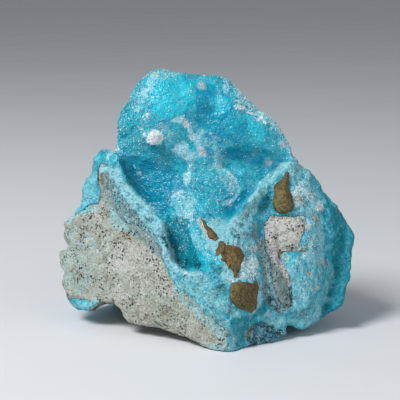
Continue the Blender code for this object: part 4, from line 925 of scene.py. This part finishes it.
def back_surface(x, y, z):
    """The back's flat breaks run together: negative in front of them."""
    back = None
    for outward, place in BACK:
        n = Vector(outward).normalized()
        plane = n.x * (x - place[0]) + n.y * (y - place[1]) + n.z * (z - place[2])
        back = plane if back is None else smooth_max(back, plane, BACK_ROUND)
    return back


def ellipsoid(x, y, z, middle, radii):
    """Negative inside, about the distance in millimetres near its surface."""
    q = np.sqrt(sum(((a - m) / r) ** 2 for a, m, r in zip((x, y, z), middle, radii)))
    return (q - 1) * min(radii)


def stone_fields(cell):
    """Values on the grid, negative inside: the whole rough stone, and the host rock's form within it."""
    u1, v1, w1 = (np.arange(low, high + cell, cell) for low, high in zip(GRID_LOW, GRID_HIGH))
    u, v = np.meshgrid(u1, v1, indexing="ij")
    wall, face, slab = front_surfaces(u, v)
    relief = small_relief(u, v)
    side = inside_outline(OUTLINE, u, v)
    bare_front = np.minimum(inside_outline(BARE_FACE, u, v), inside_outline(BARE_PATCH, u, v))
    edge_round = EDGE_ROUND_LOW + (EDGE_ROUND_HIGH - EDGE_ROUND_LOW) * ramp(v, EDGE_FROM, EDGE_TO)
    bare_reach = BARE_DEPTH + (BARE_UNDER - BARE_DEPTH) * (1 - ramp(v, UNDER_FROM, UNDER_TO))
    stones, cores, bares, heights = [], [], [], []
    for level in w1:
        w = np.full(u.shape, level)
        x, y, z = sketch_to_object(u, v, w)
        front = smooth_min(wall + relief - w, smooth_max(face + relief - w, slab, RIM_ROUND), VUG_ROUND)
        tapered = side + SIDE_TAPER * np.maximum(-front - TAPER_FROM, 0.0)
        whole = smooth_max(smooth_max(front, tapered, edge_round), back_surface(x, y, z), SHOULDER_ROUND)
        hollowed = whole
        for middle, radii in (ARCH, BELLY):
            hollowed = smooth_max(hollowed, -ellipsoid(x, y, z, middle, radii), HOLLOW_ROUND)
        bare_back = np.maximum(inside_outline(BARE_BACK, x, z, steps=4), BACK_FROM - y)
        bare_back = np.maximum(bare_back, wall + WALL_COVER - w)
        bare = np.minimum(np.maximum(bare_front, w - face - bare_reach), bare_back)
        near = np.abs(hollowed) < NEAR
        place = np.stack([x[near], y[near], z[near]], axis=-1)
        bare[near] += waves(place, *RAGGED) + waves(place, *RAGGED_FINE)
        rough = hollowed.copy()
        rough[near] += roughness(place, bare[near])
        ball = np.sqrt(sum((a - b) ** 2 for a, b in zip((u, v, w), BALL))) - BALL_RADIUS
        stones.append(smooth_min(rough, ball, BALL_ROUND))
        cores.append(whole - POKE + (CRUST + POKE) * ramp(bare, -BORDER, BORDER))
        bares.append(bare)
        heights.append(z)
    stone = softened(np.stack(stones, axis=-1))
    near = np.abs(stone) < NEAR_FINE
    at = np.argwhere(near) * cell + np.array(GRID_LOW)
    place = np.stack(sketch_to_object(*at.T), axis=-1) - np.array([*MIDDLE, 0.0])
    chipped = ramp(-np.broadcast_to(slab[..., None], stone.shape)[near], *CHIPS_START)
    stone[near] += fine_roughness(place, np.stack(bares, axis=-1)[near], chipped)
    return np.maximum(stone, -np.stack(heights, axis=-1)), softened(np.stack(cores, axis=-1), times=3)


def roughness(place, bare):
    """What is taken off the surface: jagged breaks on bare rock, knobs standing out of the crust."""
    broken = ramp(-bare, *BREAK_STARTS)
    behind = ramp(place[:, 1], *BACK_STARTS)
    grown = knobs(place, *KNOBS_FRONT) * (1 - behind) + knobs(place, *KNOBS_BACK) * behind
    sunk = KNOBS_SUNK[0] + (KNOBS_SUNK[1] - KNOBS_SUNK[0]) * behind
    jagged = sum(waves(place, *wave) for wave in BREAKS)
    size, height, seed = TERRACES
    jagged += height * np.round(waves(place, size, TERRACE_STEPS, seed))
    jagged = jagged * (BREAKS_FRONT + (BREAKS_BACK - BREAKS_FRONT) * behind)
    return broken * jagged - (1 - broken) * (grown - sunk)


def fine_roughness(place, bare, chipped):
    """The same for the finest knobs and breaks; crust that is chipped has some of both."""
    broken = ramp(-bare, *BREAK_STARTS)
    jagged = sum(waves(place, *wave) for wave in FINE_BREAKS)
    rugged = sum(waves(place, *wave) for wave in CHIPS)
    grown = sum(knobs(place, *knob) for knob in FINE_KNOBS)
    return broken * jagged - (1 - broken) * (grown - FINE_SUNK - chipped * rugged)


def softened(field, times=1):
    """The same values, each averaged with its neighbours."""
    for _ in range(times):
        for axis in range(3):
            field = 0.5 * field + 0.25 * (np.roll(field, 1, axis=axis) + np.roll(field, -1, axis=axis))
    return field


def surface_of(field, low, cell):
    """Points and four-sided faces of the surface where values change sign: a point in each crossed cell."""
    cells = tuple(n - 1 for n in field.shape)
    strides = np.array([cells[1] * cells[2], cells[2], 1])
    size = int(np.prod(cells))
    sums, count, faces = np.zeros((3, size)), np.zeros(size), []
    for axis in range(3):
        start = np.take(field, range(field.shape[axis] - 1), axis=axis)
        end = np.take(field, range(1, field.shape[axis]), axis=axis)
        crossed = np.argwhere((start < 0) != (end < 0))
        one, two = start[tuple(crossed.T)], end[tuple(crossed.T)]
        place = crossed.astype(float)
        place[:, axis] += one / (one - two)
        across, up = (axis + 1) % 3, (axis + 2) % 3
        around = []
        for da, du in ((-1, -1), (0, -1), (0, 0), (-1, 0)):
            cell_at = crossed.copy()
            cell_at[:, across] += da
            cell_at[:, up] += du
            number = cell_at @ strides
            around.append(number)
            count += np.bincount(number, minlength=size)
            for k in range(3):
                sums[k] += np.bincount(number, weights=place[:, k], minlength=size)
        quads = np.stack(around, axis=1)
        faces.append(np.where((one < 0)[:, None], quads[:, ::-1], quads))
    used = np.flatnonzero(count)
    index = np.zeros(size, int)
    index[used] = np.arange(len(used))
    points = np.array(low) + cell * (sums[:, used] / count[used]).T
    return points, index[np.concatenate(faces)]


def field_at(field, places, cell):
    """The grid's values nearest to rows of x, y, z."""
    at = np.stack(object_to_sketch(places), axis=-1)
    n = np.clip(np.round((at - np.array(GRID_LOW)) / cell).astype(int), 0, np.array(field.shape) - 1)
    return field[tuple(n.T)]


def mesh_of(name, points, faces, smooth=True):
    """A mesh of points in millimetres."""
    mesh = bpy.data.meshes.new(name)
    mesh.from_pydata((points * MM).tolist(), [], faces.tolist())
    mesh.polygons.foreach_set("use_smooth", [smooth] * len(mesh.polygons))
    return mesh


def add_object(name, mesh, look):
    made = bpy.data.objects.new(name, mesh)
    bpy.context.scene.collection.objects.link(made)
    mesh.materials.append(look)
    return made


def lump_corners(outline, stands_out, lean):
    """Corners of a broken lump, in u, v, w: bedded behind the surface, with a smaller tilted front."""
    p = np.array(outline, float)
    middle = p.mean(axis=0)
    wall, face, slab = front_surfaces(p[:, 0], p[:, 1])
    surface = np.where(slab < 0, np.minimum(face, wall), wall)
    fitted = np.linalg.lstsq(np.column_stack([p - middle, np.ones(len(p))]), surface, rcond=None)[0]
    root = middle + (p - middle) * LUMP_ROOT_SIZE
    corners = [np.column_stack([root, fitted[2] + (root - middle) @ fitted[:2] + LUMP_ROOT])]
    for scale, stand in LUMP_RINGS:
        q = middle + (p - middle) * scale
        places = np.column_stack([np.round(LUMP_STEPS * q), np.full(len(q), stand)])
        chip = 1 - LUMP_CHIP * scatter(places, LUMP_PATTERN)[:, 0]
        tilt = (q - middle) @ (fitted[:2] + np.array(lean) * (stand > 0))
        corners.append(np.column_stack([q, fitted[2] + tilt - stands_out * stand * chip]))
    return np.concatenate(corners)


def stone_object(name, field, cell, look, node):
    """An object of one of the stone's two surfaces, in the place of its node."""
    points, faces = surface_of(field, GRID_LOW, cell)
    made = add_object(name, mesh_of(name, centred(points), faces), look)
    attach(made, "root")
    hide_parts(node)
    return made


class Tree:
    """The node tree of one material, with short ways to add what the materials have in common."""

    def __init__(self, name):
        self.material = bpy.data.materials.new(name)
        self.material.use_nodes = True
        self.nodes = self.material.node_tree.nodes
        self.links = self.material.node_tree.links
        self.shader = self.nodes["Principled BSDF"]
        self.place = self.nodes.new("ShaderNodeTexCoord").outputs["Object"]

    def put(self, value, socket):
        """Links a socket to another, or sets it to a number or a colour."""
        if isinstance(value, bpy.types.NodeSocket):
            self.links.new(value, socket)
        elif socket.type == "RGBA":
            socket.default_value = (*value, 1.0)
        else:
            socket.default_value = value

    def surface(self, colour, roughness, normal):
        """Gives the shader what differs over the surface, and returns the material."""
        self.put(colour, self.shader.inputs["Base Color"])
        self.put(roughness, self.shader.inputs["Roughness"])
        self.put(normal, self.shader.inputs["Normal"])
        return self.material

    def math(self, operation, a, b):
        made = self.nodes.new("ShaderNodeMath")
        made.operation = operation
        self.put(a, made.inputs[0])
        self.put(b, made.inputs[1])
        return made.outputs[0]

    def times(self, a, b):
        return self.math("MULTIPLY", a, b)

    def plus(self, a, b):
        return self.math("ADD", a, b)

    def noise(self, size, seed=0.0, detail=2.0):
        """Clouds of this size in millimetres, mostly between 0.3 and 0.7."""
        made = self.nodes.new("ShaderNodeTexNoise")
        made.noise_dimensions = "4D"
        self.put(self.place, made.inputs["Vector"])
        made.inputs["W"].default_value = seed
        made.inputs["Scale"].default_value = 1 / (size * MM)
        made.inputs["Detail"].default_value = detail
        return made.outputs[0]

    def cells(self, size, seed=0.0):
        """Cells of this size in millimetres: distance from a cell's middle, and its random number."""
        moved = self.nodes.new("ShaderNodeVectorMath")
        self.put(self.place, moved.inputs[0])
        moved.inputs[1].default_value = (seed, seed, seed)
        made = self.nodes.new("ShaderNodeTexVoronoi")
        self.put(moved.outputs[0], made.inputs["Vector"])
        made.inputs["Scale"].default_value = 1 / (size * MM)
        split = self.nodes.new("ShaderNodeSeparateColor")
        self.put(made.outputs["Color"], split.inputs[0])
        return made.outputs["Distance"], split.outputs[0]

    def stretch(self, value, low, high, start=0.0, end=1.0):
        """Start at low, end at high, straight in between."""
        made = self.nodes.new("ShaderNodeMapRange")
        self.put(value, made.inputs["Value"])
        for socket, given in zip(("From Min", "From Max", "To Min", "To Max"), (low, high, start, end)):
            made.inputs[socket].default_value = given
        return made.outputs[0]

    def mix(self, factor, a, b):
        made = self.nodes.new("ShaderNodeMix")
        made.data_type = "RGBA"
        self.put(factor, made.inputs[0])
        self.put(a, made.inputs[6])
        self.put(b, made.inputs[7])
        return made.outputs[2]

    def stain(self, base, value, low, high, share, tone, within=None):
        """A colour that sets in from low to high, up to this share, and only within what is given."""
        amount = self.stretch(value, low, high, 0.0, share)
        if within:
            amount = self.times(within, amount)
        return self.mix(amount, base, tone)

    def layer(self, name):
        made = self.nodes.new("ShaderNodeAttribute")
        made.attribute_name = name
        return made.outputs["Fac"]

    def specks(self, size, share, reach, seed):
        """1 on small spots: one in a share of the cells, out to this part of a cell."""
        distance, number = self.cells(size, seed)
        spot = self.stretch(distance, reach, reach * 0.6)
        return self.times(spot, self.stretch(number, share, share - 0.02))

    def two_sizes(self, one, two):
        return self.math("MAXIMUM", self.specks(*one), self.specks(*two))

    def cover(self, base, tones, middle, small, low, high):
        """The layers' colours over the base: a layer of 1 covers all grains, one of 0.5 half of them."""
        half = self.plus(self.times(middle, 0.5), self.times(small, 0.5))
        grain = self.stretch(half, low, high, 0.02, 0.98)
        for name, soft in LAYERS.items():
            amount = self.math("SUBTRACT", self.times(self.layer(name), 1 + soft), grain)
            base = self.mix(self.stretch(amount, 0.0, soft), base, getattr(tones, name))
        return base

    def bump(self, height, strength, before=None):
        """A bump of this height in millimetres."""
        made = self.nodes.new("ShaderNodeBump")
        made.inputs["Strength"].default_value = 1.0
        made.inputs["Distance"].default_value = strength * MM
        self.put(height, made.inputs["Height"])
        if before:
            self.put(before, made.inputs["Normal"])
        return made.outputs[0]


def crust_material(tones, name):
    """Blue crust: smooth and grown in the vug, flaky and dusty where it is broken."""
    t = Tree(name)
    middle, small, flakes = t.noise(3, 2), t.noise(0.9, 3), t.noise(1.7, 31, 4.0)
    knob, _ = t.cells(2.1, 6)
    grit, _ = t.cells(0.8, 5)
    crest, broken = t.layer("crest"), t.layer("broken")
    base = t.mix(t.stretch(t.noise(9, 1), 0.38, 0.62), tones.crust_deep, tones.crust)
    base = t.stain(base, middle, 0.45, 0.7, 0.6, tones.sky)
    # Painted light: paler blue on the crests of the knobs
    base = t.stain(base, crest, 0.4, 1.0, 0.25, tones.cyan)
    base = t.mix(t.stretch(knob, 0.25, 0.0, 0.0, 0.15), base, tones.frost)
    base = t.cover(base, tones, middle, small, 0.36, 0.64)
    cloud, _ = t.cells(5.0, 25)
    cloud = t.times(t.stretch(cloud, 0.45, 0.15), t.stretch(t.noise(7, 24), 0.45, 0.65, 0.0, 0.4))
    base = t.mix(t.times(cloud, t.stretch(small, 0.4, 0.6, 0.3, 1.0)), base, tones.frost)
    # Painted shade: deeper blue in the seams between the knobs
    base = t.stain(base, crest, 0.35, 0.0, 0.3, tones.deep)
    rough = t.times(broken, t.stretch(t.layer("teal"), 0.0, 1.0, 1.0, 0.1))
    base = t.stain(base, flakes, 0.54, 0.6, 0.45, tones.frost, rough)
    base = t.stain(base, flakes, 0.46, 0.4, 0.5, tones.teal, rough)
    base = t.stain(base, t.noise(0.5, 10, 1.0), 0.55, 0.7, 0.5, tones.frost, rough)
    base = t.stain(base, small, 0.46, 0.3, 0.8, tones.teal, rough)
    bare = t.plus(t.plus(t.layer("grey"), t.layer("ash")), t.layer("pink"))
    bare = t.times(t.plus(bare, t.times(t.layer("rind"), 0.25)), broken)
    dots = t.two_sizes((0.85, 0.6, 0.46, 7), (1.3, 0.3, 0.42, 19))
    base = t.mix(t.times(bare, t.times(dots, 0.85)), base, tones.specks)
    # Painted sparkle: small white specks in clouds that stand in for reflections on crystal faces
    painted_glints = t.times(t.specks(0.6, 0.12, 0.42, 4), t.stretch(t.noise(4, 9), 0.45, 0.66, 0.0, 0.8))
    base = t.mix(painted_glints, base, tones.white)
    # Pale crystals of the druse, partly their own pale colour, partly painted sparkle
    base = t.mix(t.times(t.layer("glint"), 0.85), base, tones.white)
    t.shader.inputs["Specular IOR Level"].default_value = 0.32
    t.shader.inputs["Subsurface Weight"].default_value = 0.12
    t.shader.inputs["Subsurface Radius"].default_value = (0.6, 1.0, 1.0)
    t.shader.inputs["Subsurface Scale"].default_value = 1.2 * MM
    rise = t.bump(t.stretch(knob, 0.0, 0.7, 1.0, 0.0), 0.3)
    rise = t.bump(t.stretch(grit, 0.0, 0.7, 1.0, 0.0), 0.18, rise)
    coarse = t.plus(t.times(small, t.stretch(broken, 0.0, 1.0, 0.35, 1.3)), t.times(broken, flakes))
    gloss = t.times(t.stretch(small, 0.3, 0.7, 0.2, 0.5), t.stretch(broken, 0.0, 1.0, 0.65, 1.2))
    return t.surface(base, gloss, t.bump(coarse, 0.5, rise))


def rock_material(tones):
    """Pale speckled host rock."""
    t = Tree("host rock")
    middle, small = t.noise(2.4, 12), t.noise(0.8, 13)
    base = t.mix(t.stretch(middle, 0.45, 0.7, 0.0, 0.55), tones.rock, tones.rock_dark)
    base = t.stain(base, t.noise(8, 11), 0.45, 0.65, 0.6, tones.ash)
    base = t.stain(base, t.noise(6, 17), 0.52, 0.7, 0.4, tones.brown)
    base = t.cover(base, tones, middle, small, 0.32, 0.68)
    base = t.stain(base, small, 0.52, 0.7, 0.45, tones.rock_dark)
    base = t.stain(base, t.noise(0.55, 19, 1.0), 0.54, 0.7, 0.35, tones.white)
    dots = t.two_sizes((0.75, 0.5, 0.46, 14), (1.2, 0.3, 0.42, 18))
    dots = t.times(dots, t.stretch(t.noise(5, 16), 0.46, 0.56, 0.05, 1.0))
    base = t.mix(t.times(dots, 0.9), base, tones.specks)
    base = t.mix(t.times(t.specks(0.8, 0.3, 0.45, 15), 0.5), base, tones.brown)
    rise = t.bump(small, 0.7, t.bump(dots, -0.25, t.bump(middle, 1.1)))
    return t.surface(base, t.stretch(small, 0.3, 0.7, 0.75, 0.95), rise)


def limonite_material(tones):
    """Olive-brown, iron-rich lumps."""
    t = Tree("limonite")
    middle, small = t.noise(1.8, 22), t.noise(0.6, 23)
    base = t.mix(t.stretch(t.noise(5, 21), 0.4, 0.65, 0.0, 0.6), tones.limonite, tones.limonite_dark)
    rust = t.times(t.layer("rust"), t.stretch(middle, 0.35, 0.6, 0.4, 1.0))
    base = t.mix(rust, base, tones.limonite_rust)
    base = t.stain(base, middle, 0.5, 0.7, 0.7, tones.limonite_dark)
    base = t.stain(base, small, 0.48, 0.34, 0.8, tones.limonite_dark)
    base = t.stain(base, t.noise(0.45, 26, 1.0), 0.48, 0.34, 0.5, tones.specks)
    base = t.mix(t.times(t.specks(0.9, 0.25, 0.4, 24), 0.4), base, tones.rock_dark)
    base = t.mix(t.times(t.specks(0.7, 0.35, 0.4, 25), 0.6), base, tones.limonite_dark)
    rise = t.bump(t.noise(0.35, 27, 1.0), 0.2, t.bump(small, 0.8, t.bump(middle, 0.7)))
    return t.surface(base, t.stretch(small, 0.3, 0.7, 0.55, 0.9), rise)


def floor_material(stage):
    t = Tree("floor")
    cloud = t.noise(60, 31)
    base = t.mix(t.stretch(cloud, 0.3, 0.7, 0.0, 0.08), stage.floor, stage.floor_cloud)
    return t.surface(base, t.stretch(cloud, 0.3, 0.7, 0.55, 0.7), t.bump(t.noise(2, 32), 0.02))


def add_layers(mesh, patches):
    """Writes how much of each colour layer lies on the mesh: as drawn in front, in patches behind."""
    places, normals = places_of(mesh)
    u, v, w = object_to_sketch(places)
    wall, face, slab = front_surfaces(u, v)
    behind = w - np.where(slab < ON_SLAB, face, np.maximum(face, wall))
    facing = ramp(-normals[:, 1], *FACING)
    deep_shown = (1 - ramp(behind, *DEEP_TO)) * facing
    shown = (1 - ramp(behind, *SHALLOW_TO)) * facing
    nearer = VIEW_DISTANCE / (VIEW_DISTANCE + w) / PIXEL_SIZE
    across, down = PIXEL_ZERO[0] + u * nearer, PIXEL_ZERO[1] - v * nearer
    bent = places + np.stack([waves(places, *wave) for wave in PATCH_BENDS], axis=1)
    for name in (*LAYERS, "sparkle"):
        reach = deep_shown if name in DEEP_LAYERS else shown
        amount = np.zeros(len(places))
        if name in patches:
            size, share, seed = patches[name]
            cloud = sum(waves(bent, part * size, height, seed + k)
                        for k, (part, height) in enumerate(PATCH_WAVES))
            amount = (1 - reach) * share * ramp(cloud, *PATCH_FROM)
        for _, share, outline in ZONES.get(name, ()):
            low, high = np.min(outline, axis=0) - ZONE_MARGIN, np.max(outline, axis=0) + ZONE_MARGIN
            near = (across > low[0]) & (across < high[0]) & (down > low[1]) & (down < high[1]) & (reach > 0)
            if near.any():
                inside = -inside_outline(outline, across[near], down[near]) * PIXEL_SIZE
                edge = ramp(inside + waves(places[near], *ZONE_RAGGED), -ZONE_EDGE, ZONE_EDGE)
                amount[near] = np.maximum(amount[near], share * edge * reach[near])
        write_layer(mesh, name, amount)
    write_layer(mesh, "broken", 1 - deep_shown * ramp(slab, *SMOOTH_FROM))
    # How far a place stands out among the knobs, from which the crust's colour is painted paler on crests
    # and darker in the seams
    write_layer(mesh, "crest", sum(part * knobs(places, knob[0], 1.0, knob[2])
                                   for part, knob in zip(CREST_SHARES, (KNOBS_FRONT, FINE_KNOBS[0]))))


def write_layer(mesh, name, values):
    made = mesh.attributes.new(name, "FLOAT", "POINT")
    made.data.foreach_set("value", np.asarray(values, np.float32))


def object_to_sketch(places):
    """u, v, w of rows of x, y, z."""
    x, y, z = places[:, 0] + MIDDLE[0], places[:, 1] + MIDDLE[1], places[:, 2]
    return x, y * math.sin(LEAN) + z * math.cos(LEAN), y * math.cos(LEAN) - z * math.sin(LEAN)


def places_of(mesh):
    """Rows of x, y, z in millimetres, and of the points' normals."""
    places = np.empty(3 * len(mesh.vertices))
    mesh.vertices.foreach_get("co", places)
    normals = np.empty(3 * len(mesh.vertices))
    mesh.vertex_normals.foreach_get("vector", normals)
    return places.reshape(-1, 3) / MM, normals.reshape(-1, 3)


def thin_out(made, hidden, share):
    """Merges the faces between hidden points until this share of the mesh is left."""
    group = made.vertex_groups.new(name="hidden")
    group.add([int(i) for i in np.flatnonzero(hidden)], 1.0, "REPLACE")
    modifier = made.modifiers.new("fewer faces", "DECIMATE")
    modifier.ratio = share
    modifier.vertex_group = "hidden"
    view = bpy.context.evaluated_depsgraph_get()
    mesh = bpy.data.meshes.new_from_object(made.evaluated_get(view))
    made.modifiers.clear()
    made.vertex_groups.clear()
    made.data = mesh


def crystal_shape():
    """Corners and faces of a blade with a roof-shaped end, one unit long and wide, on the origin."""
    square = ((-0.5, -0.3), (0.5, -0.3), (0.5, 0.3), (-0.5, 0.3))
    corners = [(x, y, z) for z in (-0.6, 0.2) for x, y in square]
    corners += [(-0.22, 0.0, 0.55), (0.22, 0.0, 0.55)]
    faces = [(0, 3, 2), (0, 2, 1)]
    for a, b in ((0, 1), (1, 2), (2, 3), (3, 0)):
        faces += [(a, b, b + 4), (a, b + 4, a + 4)]
    faces += [(4, 5, 9), (4, 9, 8), (5, 6, 9), (6, 7, 8), (6, 8, 9), (7, 4, 8)]
    return np.array(corners), np.array(faces)


def crystal_places(crust, wanted_count):
    """Points of the crust that carry a crystal, more of them where it is frosted, sparkling or white."""
    places, _ = places_of(crust)
    u, v, w = object_to_sketch(places)
    wall, _, slab = front_surfaces(u, v)
    white, frost, sparkle, deep = (layer_of(crust, name) for name in ("white", "frost", "sparkle", "deep"))
    in_vug = ramp(slab, *VUG_START) * (1 - ramp(w - wall, *VUG_END))
    wanted = DRUSE_PLAIN * (1 - DRUSE_THINNED * deep) + DRUSE_FROST * frost + DRUSE_SPARKLE * sparkle
    wanted = in_vug * wanted + DRUSE_WHITE * white
    chance = scatter(np.round(places * PLACE_STEPS), PLACE_PATTERN)[:, 0]
    ranked = np.argsort(chance ** (1 / np.maximum(wanted, DRUSE_LEAST)))[::-1]
    return np.sort(ranked[:wanted_count])


def make_druse(crust, tones, sizes):
    """Small crystals on the vug's wall and wherever the surface is white."""
    chosen = crystal_places(crust, sizes.druse // (1))
    places, normals = (rows[chosen] for rows in places_of(crust))
    shape, faces = crystal_shape()
    count = len(shape)
    cell = np.round(places * PLACE_STEPS)
    turn, lean, size = scatter(cell, TURN_PATTERN).T
    up = unit(normals + DRUSE_TILT * (scatter(cell, TILT_PATTERN) - 0.5))
    angle = DRUSE_TURN * turn
    across = np.stack([np.cos(angle), np.sin(angle), np.full(len(turn), DRUSE_SLANT)], axis=1)
    side = unit(np.cross(up, across))
    tall = sizes.blade / MM * (BLADE_TALL[0] + BLADE_TALL[1] * size ** 2)
    wide = tall * (BLADE_WIDE[0] + BLADE_WIDE[1] * lean)
    corners = places[:, None, :] + sum(
        (shape[None, :, k, None] * scale[:, None, None]) * axis[:, None, :]
        for k, (axis, scale) in enumerate(((side, wide), (np.cross(up, side), wide), (up, tall))))
    all_faces = faces[None] + count * np.arange(len(chosen))[:, None, None]
    mesh = mesh_of("druse", corners.reshape(-1, 3), all_faces.reshape(-1, 3), smooth=False)
    for name in (*LAYERS, "crest", "broken"):
        write_layer(mesh, name, np.repeat(layer_of(crust, name)[chosen], count))
    # Which crystals turn pale: partly pale crystals, partly painted sparkle, more on white and sparkling
    # crust
    _, glint, strength = scatter(cell, PLACE_PATTERN).T
    glint = glint + GLINT_WHITE * layer_of(crust, "white")[chosen]
    glint = ramp(glint + GLINT_SPARKLE * layer_of(crust, "sparkle")[chosen], *GLINT_FROM)
    write_layer(mesh, "glint", np.repeat(glint * ramp(strength, *GLINT_STRENGTH), count))
    return add_object("druse", mesh, crust_material(tones, "druse"))

def layer_of(mesh, name):
    values = np.empty(len(mesh.vertices), np.float32)
    mesh.attributes[name].data.foreach_get("value", values)
    return values


def lump_field(pieces, cell):
    """Values on a grid around a lump of a few pieces, negative inside, and the grid's low corner."""
    corners = np.concatenate(pieces)
    low = corners.min(axis=0) - LUMP_MARGIN
    axes = [np.arange(a, b + LUMP_MARGIN, cell) for a, b in zip(low, corners.max(axis=0))]
    place = np.stack(np.meshgrid(*axes, indexing="ij"), axis=-1)
    field = np.min([hull_field(piece, place) for piece in pieces], axis=0)
    return field + sum(waves(place, *wave) for wave in LUMP_WAVES), low


def hull_field(corners, place):
    """About the distance from the solid with flat faces around the corners, negative inside."""
    bm = bmesh.new()
    for p in corners:
        bm.verts.new(Vector(p))
    bmesh.ops.convex_hull(bm, input=bm.verts)
    bmesh.ops.recalc_face_normals(bm, faces=bm.faces)
    field = None
    for face in bm.faces:
        plane = (place - np.array(face.verts[0].co)) @ np.array(face.normal)
        field = plane if field is None else smooth_max(field, plane, LUMP_EDGE)
    bm.free()
    return field


class Stone(bpy.types.Operator):
    """Build the host rock and the blue crust over it."""

    bl_idname = "specimen.stone"
    bl_label = "Stone"

    def execute(self, context):
        sizes, tones = context.scene.specimen_sizes, context.scene.specimen_colours
        cell = sizes.cell / MM
        stone, core = stone_fields(cell)
        shell = np.maximum(stone, -core)
        filling = np.maximum(stone + sizes.rock_sunk / MM, core - sizes.rock_under / MM)
        crust = stone_object("crust", shell, cell, crust_material(tones, "hemimorphite"),
                             "hemimorphite_crust")
        rock = stone_object("host_rock", filling, cell, rock_material(tones), "matrix")
        for made, patches in ((crust, CRUST_PATCHES), (rock, ROCK_PATCHES)):
            places, _ = places_of(made.data)
            thin_out(made, field_at(stone, places, cell) < HIDDEN_BELOW, KEEP_SHARE)
            add_layers(made.data, patches)
        return {"FINISHED"}


class Druse(bpy.types.Operator):
    """Set small crystals on the wall of the vug."""

    bl_idname = "specimen.druse"
    bl_label = "Crystals"

    def execute(self, context):
        crust = bpy.data.objects["crust"].data
        made = make_druse(crust, context.scene.specimen_colours, context.scene.specimen_sizes)
        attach(made, "root")
        return {"FINISHED"}


class Limonite(bpy.types.Operator):
    """Build the four lumps of limonite."""

    bl_idname = "specimen.limonite"
    bl_label = "Limonite lumps"

    def execute(self, context):
        look = limonite_material(context.scene.specimen_colours)
        cell = context.scene.specimen_sizes.lump_cell / MM
        for name, shape in LUMPS.items():
            pieces = [centred(lump_corners(*piece)) for piece in (shape, *LUMP_HORNS.get(name, ()))]
            field, low = lump_field(pieces, cell)
            points, faces = surface_of(field, low, cell)
            made = add_object(f"{name}_lump", mesh_of(name, points, faces[:, ::-1]), look)
            write_layer(made.data, "rust", np.full(len(points), LUMP_RUST[name]))
            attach(made, "root")
            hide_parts(name)
        return {"FINISHED"}


class Stage(bpy.types.Operator):
    """Add the floor, the camera and the light."""

    bl_idname = "specimen.stage"
    bl_label = "Stage"

    def execute(self, context):
        stage, scene = context.scene.specimen_stage, context.scene
        half = stage.floor_size / 2
        corners = [(-half, -half, 0), (half, -half, 0), (half, half, 0), (-half, half, 0)]
        mesh = bpy.data.meshes.new("floor")
        mesh.from_pydata(corners, [], [(0, 1, 2, 3)])
        floor = add_object("floor", mesh, floor_material(stage))
        scene.camera = add_camera(stage)
        add_light("main light", stage.key_place, stage.key_size, stage.key, stage.lit)
        add_light("second light", stage.fill_place, stage.fill_size, stage.fill, stage.lit)
        scene.world = bpy.data.worlds.new("air")
        scene.world.use_nodes = True
        air = scene.world.node_tree.nodes["Background"]
        air.inputs["Color"].default_value = (*stage.air_colour, 1.0)
        air.inputs["Strength"].default_value = stage.air
        scene.view_settings.view_transform = "Standard"
        return {"FINISHED"}


def add_camera(stage):
    eye = bpy.data.cameras.new("camera")
    eye.lens = stage.lens
    eye.sensor_width = 36.0
    eye.clip_start = 0.01
    eye.dof.use_dof = False
    camera = bpy.data.objects.new("camera", eye)
    camera.location = stage.eye
    camera.rotation_euler = (math.radians(90) - stage.pitch, 0.0, stage.turn)
    bpy.context.scene.collection.objects.link(camera)
    return camera


def add_light(name, place, size, power, lit):
    """A square soft light that shines at a place."""
    lamp = bpy.data.lights.new(name, "AREA")
    lamp.energy = power
    lamp.size = size
    holder = bpy.data.objects.new(name, lamp)
    holder.location = place
    holder.rotation_euler = (Vector(lit) - Vector(place)).to_track_quat("-Z", "Y").to_euler()
    holder.visible_camera = False
    bpy.context.scene.collection.objects.link(holder)


class SpecimenPanel(bpy.types.Panel):
    """Sizes and colours of the specimen, and a button for each of its parts."""

    bl_idname = "VIEW3D_PT_specimen"
    bl_label = "Specimen"
    bl_space_type = "VIEW_3D"
    bl_region_type = "UI"
    bl_category = "Specimen"

    def draw(self, context):
        for scene_name, group in GROUPS.items():
            column = self.layout.column()
            for name in group.__annotations__:
                column.prop(getattr(context.scene, scene_name), name)
        for operator in PARTS:
            self.layout.operator(operator.bl_idname)


PARTS = (Stone, Druse, Limonite, Stage)
GROUPS = {"specimen_sizes": SpecimenSizes, "specimen_colours": SpecimenColours,
          "specimen_stage": SpecimenStage}


def register():
    for made in (*GROUPS.values(), *PARTS, SpecimenPanel):
        bpy.utils.register_class(made)
    for name, group in GROUPS.items():
        setattr(bpy.types.Scene, name, PointerProperty(type=group))


def unregister():
    for name in GROUPS:
        delattr(bpy.types.Scene, name)
    for made in (SpecimenPanel, *reversed(PARTS), *reversed(GROUPS.values())):
        bpy.utils.unregister_class(made)


def main():
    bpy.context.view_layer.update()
    register()
    bpy.ops.specimen.stone()
    bpy.ops.specimen.druse()
    bpy.ops.specimen.limonite()
    bpy.ops.specimen.stage()


if __name__ == "__main__":
    main()
